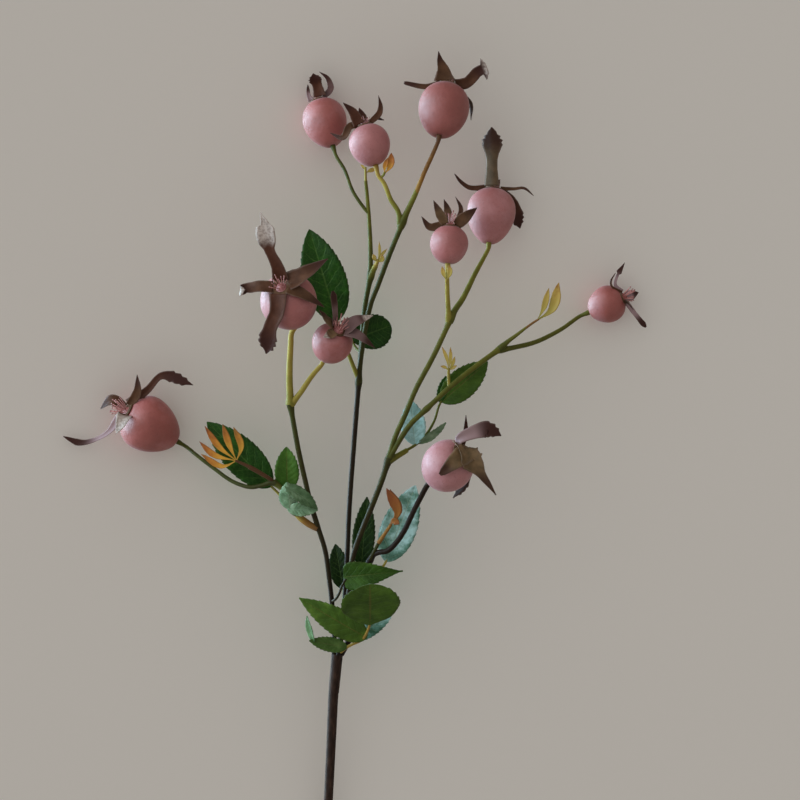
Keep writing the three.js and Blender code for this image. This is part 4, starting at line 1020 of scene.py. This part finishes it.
def growStem(name, stem):
    spots, edges, girths, tints = [], [], [], []
    for places, radii, shades, hipName in stem["runs"]:
        points = [at(place) for place in places]
        if hipName:
            hip = hips[hipName]
            straight = (-hip.get("approach", bark["approach"]), -bark["neck"], stalkDepth)
            points += [hip["base"] + hip["way"] * far * mm for far in straight]
        for spot, share in strandOn(points, bark):
            girth = blend(radii[0], radii[1], share)
            for place, extra, reach in stem["knots"]:
                girth += extra * math.exp(-((spot - at(place)).length / mm / reach) ** 2)
            if hipName:
                away = (spot - hip["base"]).length / mm
                girth += bark["collar"] * math.exp(-(away / bark["collarReach"]) ** 2)
            if share:
                edges.append((len(spots) - 1, len(spots)))
            spots.append(spot)
            girths.append(girth * mm)
            tints.append(blend(shades[0], shades[1], share))
    paint = paints["bark"] if name == "main_stem" else paints["shoot"]
    return stemTree.grow(f"{name}_bark", name, spots, edges,
                         {"girth": ("FLOAT", girths), "tint": ("FLOAT", tints)},
                         {"Sides": bark["sides"], "Bark depth": bark["depth"] * mm,
                          "Bark scale": bark["scale"], "Seed": float(len(name)), "Paint": paint})


for name, stem in stems.items():
    growStem(name, stem)
print("stems grown:", len(stems))


def growStalks(name, stalks, tint):
    spots, edges, girths = [], [], []
    for places, radii in stalks:
        for spot, share in strandOn([at(place) for place in places], stalkLook):
            if share:
                edges.append((len(spots) - 1, len(spots)))
            spots.append(spot)
            girths.append(blend(radii[0], radii[1], share) * mm)
    return stemTree.grow(f"{name}_stalk", name, spots, edges,
                         {"girth": ("FLOAT", girths), "tint": ("FLOAT", [tint] * len(spots))},
                         {"Sides": stalkLook["sides"], "Bark depth": stalkLook["depth"] * mm,
                          "Bark scale": bark["scale"], "Seed": float(len(name)), "Paint": paints["shoot"]})


# leaves: leaf stalks with radius and tint, and leaflets with tints, olive from painted shade -1
# over olive 1 to fresh green 2, pale from green 0 to silver 1 with painted reflection from 0.9
leaves = {
    "leaf_centre_left": {
        "stalks": [[(358, 378, 22), (350, 358, 24.5), (342, 335, 26), (336, 318, 26.5)]],
        "stalk": 0.95, "stalkTint": 0.8,
        "leaflets": [{"base": (337, 321, 26.4), "tip": (309, 229, 27), "width": 18.5, "arch": 0.08,
                      "teeth": 15}],
    },
    "leaf_centre_right": {
        "stalks": [[(361, 352, 22), (356, 348, 18.6), (352, 341, 16.2)]],
        "leaflets": [{"base": (351, 340, 16), "tip": (391, 325, 15), "width": 14.6, "arch": 0.08, "teeth": 10,
                      "widest": 0.56, "olive": -0.3}],
    },
    "leaf_left": {
        "stalks": [[(295, 513, 25.8), (289, 508, 22.5), (282.5, 499, 20), (270.5, 486.5, 18.3)],
                   [(283, 500, 20), (286, 495, 20.5), (287, 489, 21)]],
        "stalkTint": 0.85,
        "leaflets": [
            {"base": (271, 487, 18.3), "tip": (206, 422, 17), "width": 15.4, "arch": 0.06, "teeth": 14},
            {"base": (287, 491, 20.8), "tip": (286, 447, 22), "width": 10.2, "arch": 0.08, "teeth": 10,
             "olive": 1.45},
        ],
    },
    "leaf_left_folded": {
        "stalks": [[(298, 516, 26), (293, 514, 28.5), (288.5, 510, 30)]],
        "leaflets": [
            {"base": (290, 510, 30.1), "tip": (287, 482, 32.4), "width": 8, "cup": -0.4, "teeth": 8,
             "pale": 0.8},
            {"base": (287.5, 509, 30), "tip": (318, 510, 31.6), "width": 5.6, "cup": 0.35, "teeth": 8,
             "pale": 0.8},
            {"base": (285, 485.5, 32), "tip": (317.5, 509, 31.8), "width": 6.4, "face": (0.4, 0.3, 1),
             "teeth": 8, "pale": 0.4},
        ],
    },
    "leaf_right": {
        "stalks": [[(389, 459, 33.6), (398, 455, 31.5), (407, 450, 29.5), (416, 444.5, 27.8),
                    (427, 433.5, 26.4), (434.5, 420.5, 25.6), (439, 406, 25), (444, 396, 24.8)]],
        "leaflets": [
            {"base": (441.5, 402, 25), "tip": (488, 361.5, 24), "width": 12.6, "arch": 0.08, "teeth": 12,
             "olive": 0.85},
            {"base": (415, 445, 28), "tip": (411, 400, 27), "width": 10.4, "arch": 0.06, "teeth": 10,
             "pale": 1.0},
            {"base": (418, 443.5, 27.6), "tip": (446, 422.5, 28.6), "width": 4.6, "face": (0.6, -0.6, 0.8),
             "teeth": 8, "pale": 0.7},
            {"base": (439.5, 402, 25), "tip": (446, 376, 24.4), "width": 4, "teeth": 7},
        ],
    },
    "leaf_low": {
        "stalks": [[(369, 564, 28.4), (375, 568, 26.5), (382, 567.5, 25.4), (387, 560, 25)]],
        "stalkTint": 1.0,
        "leaflets": [{"base": (386, 562, 25.1), "tip": (415.5, 485.5, 26), "width": 15, "arch": 0.08,
                      "teeth": 13, "pale": 0.88}],
    },
    "leaf_mid": {
        "stalks": [[(331.5, 602, 22.4), (335, 600, 26), (339, 594, 29.5), (342, 586, 30.9),
                    (346, 579, 31.2)]],
        "stalkTint": 0.15,
        "leaflets": [{"base": (343.5, 577, 30.8), "tip": (403, 571, 31.6), "width": 12, "arch": 0.1,
                      "teeth": 12, "widest": 0.17, "olive": 0.4}],
    },
    "leaf_mid_left": {
        "stalks": [[(343.7, 608, 18.3), (343, 602, 15.4), (343, 592, 14.2), (342.5, 588, 14)]],
        "leaflets": [{"base": (342.5, 590, 14), "tip": (335, 545, 13), "width": 8.4, "teeth": 10,
                      "olive": -0.7}],
    },
    "leaf_mid_right": {
        "stalks": [[(346, 572, 19.2), (354, 571, 21.6), (362, 566, 23.4)]],
        "leaflets": [{"base": (361, 568, 23.3), "tip": (367, 497, 25), "width": 9.4, "teeth": 13,
                      "olive": -0.6}],
    },
    "leaf_base": {
        "stalks": [[(340.5, 653, 22), (343, 651, 23), (346.5, 648, 24.4), (352, 645, 25.6), (362, 640, 28),
                    (367, 632, 31), (370.5, 622, 33.5)]],
        "stalkTint": 1.1,
        "leaflets": [
            {"base": (370, 625, 33), "tip": (370, 583, 47), "width": 25, "face": (0.1, -0.5, 0.8),
             "arch": 0.06, "teeth": 13, "widest": 0.62, "olive": 0.8},
            {"base": (367, 638, 28.4), "tip": (299, 598, 29.5), "width": 11.6, "face": (0.1, -0.2, 1),
             "teeth": 13, "widest": 0.36, "olive": 0.9},
            {"base": (347, 648, 24.8), "tip": (309, 641, 27.5), "width": 6.2, "arch": 0.1, "teeth": 10,
             "olive": 0.8, "pale": 0.08},
            {"base": (314, 643, 27), "tip": (307, 616, 30), "width": 4.4, "face": (-0.8, 0, 0.6),
             "arch": 0.05, "teeth": 6, "olive": 0.6, "pale": 0.3},
        ],
    },
    "leaf_base_back": {
        "stalks": [[(337, 656, 19), (343, 650, 15.2), (351, 642.5, 13.2)]],
        "leaflets": [{"base": (352, 641, 13.2), "tip": (393, 614, 12.5), "width": 7.2, "teeth": 11,
                      "pale": 0.9}],
    },
}
leafLook = {"columns": 15, "thick": 0.34, "cup": 0.2, "arch": 0.1, "wave": 0.05, "quilt": 0.1, "tooth": 0.32,
            "stalk": 0.6, "stalkTip": 0.5, "stalkTint": 0.62, "widest": 0.42, "fullness": 1.48,
            "halfShare": 0.47, "narrowest": 0.35, "tip": 0.06, "waves": 13, "sideShift": 2, "cupCurve": 1.2,
            "steps": 40, "seedStep": 1.9}
toothSteps = ((0.0, 0.0), (0.22, 0.25), (0.45, 0.5), (0.68, 0.78), (0.84, 1.0), (0.93, 0.4))
toothLook = {"gain": 1.6, "lean": 0.8}


def leafRows(width, teeth, widest):
    def bulge(along):
        rise, fall = leafLook["fullness"] * widest, leafLook["fullness"] * (1 - widest)
        return (along / widest) ** rise * ((1 - along) / (1 - widest)) ** fall
    rows = []
    for tooth in range(teeth):
        for step, out in toothSteps:
            along = (tooth + step) / teeth
            half = max(leafLook["narrowest"], leafLook["halfShare"] * width * bulge(along)) * mm
            point = out * leafLook["tooth"] * mm * min(1, toothLook["gain"] * bulge(along))
            rows.append({"along": along, "left": half, "right": half, "tooth": point,
                         "ahead": point * toothLook["lean"]})
    tip = leafLook["tip"] * mm
    rows.append({"along": 1.0, "left": tip, "right": tip, "tooth": 0.0, "ahead": 0.0})
    return rows


def leafLift(cup, seed):
    def lift(along, share, half):
        wing = abs(share)
        ridge = math.cos(2 * math.pi * (along - wing * veins["slant"]) * veins["count"])
        outward, onward = math.sin(math.pi * min(1, wing)), math.sin(math.pi * along)
        pucker = leafLook["quilt"] * mm * ridge * outward * onward
        phase = along * leafLook["waves"] + seed + leafLook["sideShift"] * math.copysign(1, share)
        wave = leafLook["wave"] * half * math.sin(phase) * wing ** 2
        return cup * half * wing ** leafLook["cupCurve"] + wave - pucker
    return lift


def growLeaf(name, leaf):
    pile = Pile()
    for count, blade in enumerate(leaf["leaflets"]):
        start, end = at(blade["base"]), at(blade["tip"])
        run = end - start
        across = run.cross(Vector(blade.get("face", (0, 0, 1)))).normalized()
        seed = count * leafLook["seedStep"] + len(name)
        rise = across.cross(run).normalized() * run.length * blade.get("arch", leafLook["arch"])
        middle = (start + end) / 2 + rise
        shares = [i / leafLook["steps"] for i in range(leafLook["steps"] + 1)]
        line = [start * (1 - t) ** 2 + middle * 2 * t * (1 - t) + end * t * t for t in shares]
        look = {"columns": leafLook["columns"], "thick": leafLook["thick"] * mm,
                "lift": leafLift(blade.get("cup", leafLook["cup"]), seed),
                "shade": blade.get("pale", 0.0), "warm": blade.get("olive", 0.0)}
        rows = leafRows(blade["width"], blade["teeth"], blade.get("widest", leafLook["widest"]))
        pile.sheet(line, across, rows, look)
    radii = (leaf.get("stalk", leafLook["stalk"]), leafLook["stalkTip"])
    tint = leaf.get("stalkTint", leafLook["stalkTint"])
    growStalks(name, [(places, radii) for places in leaf["stalks"]], tint)
    return pile.finish(f"{name}_blades", name, paints["leaf"])


for name, leaf in leaves.items():
    growLeaf(name, leaf)
print("leaves grown:", len(leaves))


# young shoots and bracts: stalks with radii, blades with widths, tint of the stalks, ripe from 0 to dark 1
shoots = {
    "shoot_left": {
        "stalks": [([(272, 480.5, 23.4), (268, 478, 24.6), (258, 472, 25.8), (249, 467, 26.7)], (0.75, 0.95)),
                   ([(251, 468, 26.6), (243, 464, 27), (235, 460.5, 27.5)], (0.75, 0.5))],
        "blades": [
            ([(236.5, 461, 27.4), (219, 447, 28.3), (204.5, 426, 29)], 2.7),
            ([(236.5, 461, 27.4), (229.5, 446, 28.8), (222.5, 424, 30)], 2.8),
            ([(236, 461.5, 27.4), (241, 446, 29), (233.5, 427, 30.5)], 2.8),
            ([(236.5, 461, 27.4), (214, 455, 27.8), (199, 441.5, 28)], 2.6),
            ([(237, 460.5, 27.4), (222, 466.5, 27.4), (200.5, 454, 27.4)], 2.5),
        ],
        "tint": 1.55,
    },
    "shoot_low": {
        "stalks": [([(378.5, 543, 33.6), (384, 535, 34.5), (391, 524.5, 35.2)], (0.9, 0.6))],
        "blades": [
            ([(390, 526, 35.1), (397.5, 511, 36.2), (386.5, 488, 38)], 4.4),
            ([(390, 526, 35.1), (399, 511, 35.6), (390, 489, 37)], 3.2),
            ([(389.5, 524.5, 35.1), (394, 521, 35.6), (399.5, 524, 36)], 3),
        ],
        "tint": 1.25, "ripe": 0.75,
    },
    "shoot_centre": {
        "stalks": [([(375, 266.5, 23.5), (376.8, 263, 23.9), (378, 259, 24.2)], (0.9, 0.6))],
        "blades": [
            ([(377, 262, 24), (374.5, 258, 24.8), (373, 253.5, 25.4)], 1.8),
            ([(377, 262, 24), (379.5, 252, 24.6), (379, 241, 25)], 1.2),
            ([(377, 262, 24), (382, 254, 24.4), (387, 248.5, 24.8)], 1.3),
            ([(377, 262, 24), (382, 259, 25), (382, 254, 26)], 2),
        ],
        "tint": 1.0,
    },
    "shoot_top": {
        "stalks": [([(365.6, 181, 20.4), (365.4, 173, 20.2), (365.4, 166, 20)], (0.6, 0.45))],
        "blades": [
            ([(365.4, 172.5, 20.2), (369, 170, 19.6), (376, 168, 19)], 1.8),
            ([(365.4, 170, 20.1), (363, 166, 19.8), (360.5, 163.5, 19.6)], 1.1),
        ],
        "tint": 0.9,
    },
    "bract_top": {
        "stalks": [([(381.5, 177, 30.9), (383.5, 175, 32.2), (385, 172, 33)], (0.5, 0.5))],
        "blades": [
            ([(384.5, 174, 32.8), (390, 166, 33.2), (391.5, 153, 33)], 3.1),
            ([(384.5, 174, 32.8), (385, 166, 34), (388, 158, 34.4)], 2),
        ],
        "tint": 0.8,
    },
    "bract_right": {
        "stalks": [([(447.3, 283.5, 34.2), (446.5, 282, 36), (446.5, 279, 36.6)], (0.6, 0.6))],
        "blades": [
            ([(446.5, 281, 36.4), (443.5, 274, 36.6), (442, 266.5, 36.6)], 1.8),
            ([(446.5, 281, 36.4), (449.5, 274, 36.9), (449.5, 265, 37.2)], 2.2),
        ],
        "tint": 1.0,
    },
    "shoot_right_tip": {
        "stalks": [([(526, 328, 27.6), (532, 323.5, 28), (539, 319, 28.4)], (0.5, 0.42))],
        "blades": [
            ([(537.5, 320, 28.3), (552, 309, 29), (559, 282.5, 30)], 4.2),
            ([(537.5, 320, 28.3), (544, 307, 30), (549, 288, 31)], 2.6),
        ],
        "tint": 1.35,
    },
    "shoot_right": {
        "stalks": [([(449, 388, 32), (448.8, 383, 30.2), (448.6, 377, 29.8), (448.6, 368, 30.4)],
                    (0.75, 0.55))],
        "blades": [
            ([(448.6, 370.5, 30.2), (447, 359, 30.8), (442, 346.5, 31.4)], 1.5),
            ([(448.6, 370.5, 30.2), (450.5, 358, 31), (450.5, 347, 31.6)], 1.5),
            ([(448.6, 370.5, 30.2), (452.5, 364, 30.8), (455, 356.5, 31.4)], 1.5),
            ([(448.6, 371, 30.2), (445.5, 367.5, 30.4), (440.5, 366, 30.8)], 1.3),
            ([(448.6, 371, 30.2), (452.5, 368, 30.4), (457, 365.5, 30.6)], 1.3),
        ],
        "tint": 0.9,
    },
}
youngLook = {"columns": 7, "thick": 0.4, "cup": 0.35, "ripple": 0.15, "ragged": 0.05, "rows": 20,
             "shadeStep": 0.15, "seedStep": 4.1}


def growShoot(name, shoot):
    pile = Pile()
    for count, (places, width) in enumerate(shoot["blades"]):
        points = [at(place) for place in places]
        seed = count * youngLook["seedStep"] + len(name)
        look = {**youngLook, "thick": youngLook["thick"] * mm, "lift": softLift(youngLook, seed),
                "shade": youngLook["shadeStep"] * (count % 3), "warm": shoot.get("ripe", 0.0)}
        pile.sheet(smoothLine(points), (points[-1] - points[0]).cross(upward).normalized(),
                   sheetRows(sepalShapes["young"], width, youngLook, seed), look)
    growStalks(name, shoot["stalks"], shoot["tint"])
    return pile.finish(f"{name}_blades", name, paints[slotOf[name]])


for name, shoot in shoots.items():
    growShoot(name, shoot)
print("young shoots grown:", len(shoots))


# floor, lights and camera
studio = {
    "floor": {"half": 12.0, "tone": tone(244, 242, 240), "grain": tone(205, 198, 190), "grainScale": 2,
              "grainCover": 0.06, "roughness": 0.9, "fixed": {"Specular IOR Level": 0.1}},
    "key": {"place": (-2.75, 0.5, -0.22), "size": 2.0, "power": 132.0, "colour": (0.58, 0.86, 1.04)},
    "rim": {"place": (-2.0, 0.3, -1.4), "size": 1.6, "power": 68.0, "colour": (0.58, 0.84, 1.0)},
    "fill": {"place": (-1.2, 0.8, 1.1), "size": 1.6, "power": 16.0, "colour": (0.92, 0.96, 1.0)},
    "sky": (0.455, 0.432, 0.398),
    "camera": {"place": (0.0184, 0.0326, 3.0), "lens": 333.9, "sensor": 36, "clip": (0.1, 100)},
}


def layFloor():
    facts = studio["floor"]
    half = facts["half"]
    mesh = bpy.data.meshes.new("floor")
    mesh.from_pydata([(-half, -half, 0), (half, -half, 0), (half, half, 0), (-half, half, 0)], [],
                     [(0, 1, 2, 3)])
    paint = Paint("floor")
    grain = paint.grain(facts["grainScale"], 2) * facts["grainCover"]
    colour = paint.mix(grain, facts["tone"], facts["grain"])
    mesh.materials.append(paint.finish(colour, facts["roughness"], **facts["fixed"]))
    floor = bpy.data.objects.new("floor", mesh)
    bpy.context.scene.collection.objects.link(floor)
    return floor


def hangLight(name):
    facts = studio[name]
    lamp = bpy.data.lights.new(name, "AREA")
    lamp.shape, lamp.size = "DISK", facts["size"]
    lamp.energy, lamp.color = facts["power"], facts["colour"]
    light = bpy.data.objects.new(name, lamp)
    light.location = facts["place"]
    light.rotation_euler = (-Vector(facts["place"])).to_track_quat("-Z", "Y").to_euler()
    bpy.context.scene.collection.objects.link(light)
    return light


def passBy(light, thing):  # the light neither falls on this thing nor is stopped by it
    group = bpy.data.collections.new(f"passed by the {light.name}")
    group.objects.link(thing)
    light.light_linking.receiver_collection = group
    light.light_linking.blocker_collection = group
    group.collection_objects[0].light_linking.link_state = "EXCLUDE"


def standCamera():
    facts = studio["camera"]
    lens = bpy.data.cameras.new("camera")
    lens.lens, lens.sensor_width = facts["lens"], facts["sensor"]
    lens.clip_start, lens.clip_end = facts["clip"]
    camera = bpy.data.objects.new("camera", lens)
    camera.location = facts["place"]
    bpy.context.scene.collection.objects.link(camera)
    bpy.context.scene.camera = camera


floor = layFloor()
for name in ("key", "rim", "fill"):
    passBy(hangLight(name), floor)
world = bpy.data.worlds.new("soft sky")
world.use_nodes = True
world.node_tree.nodes["Background"].inputs["Color"].default_value = (*studio["sky"], 1)
bpy.context.scene.world = world
bpy.context.scene.view_settings.view_transform = "Standard"
standCamera()
print("floor, lights and camera set")
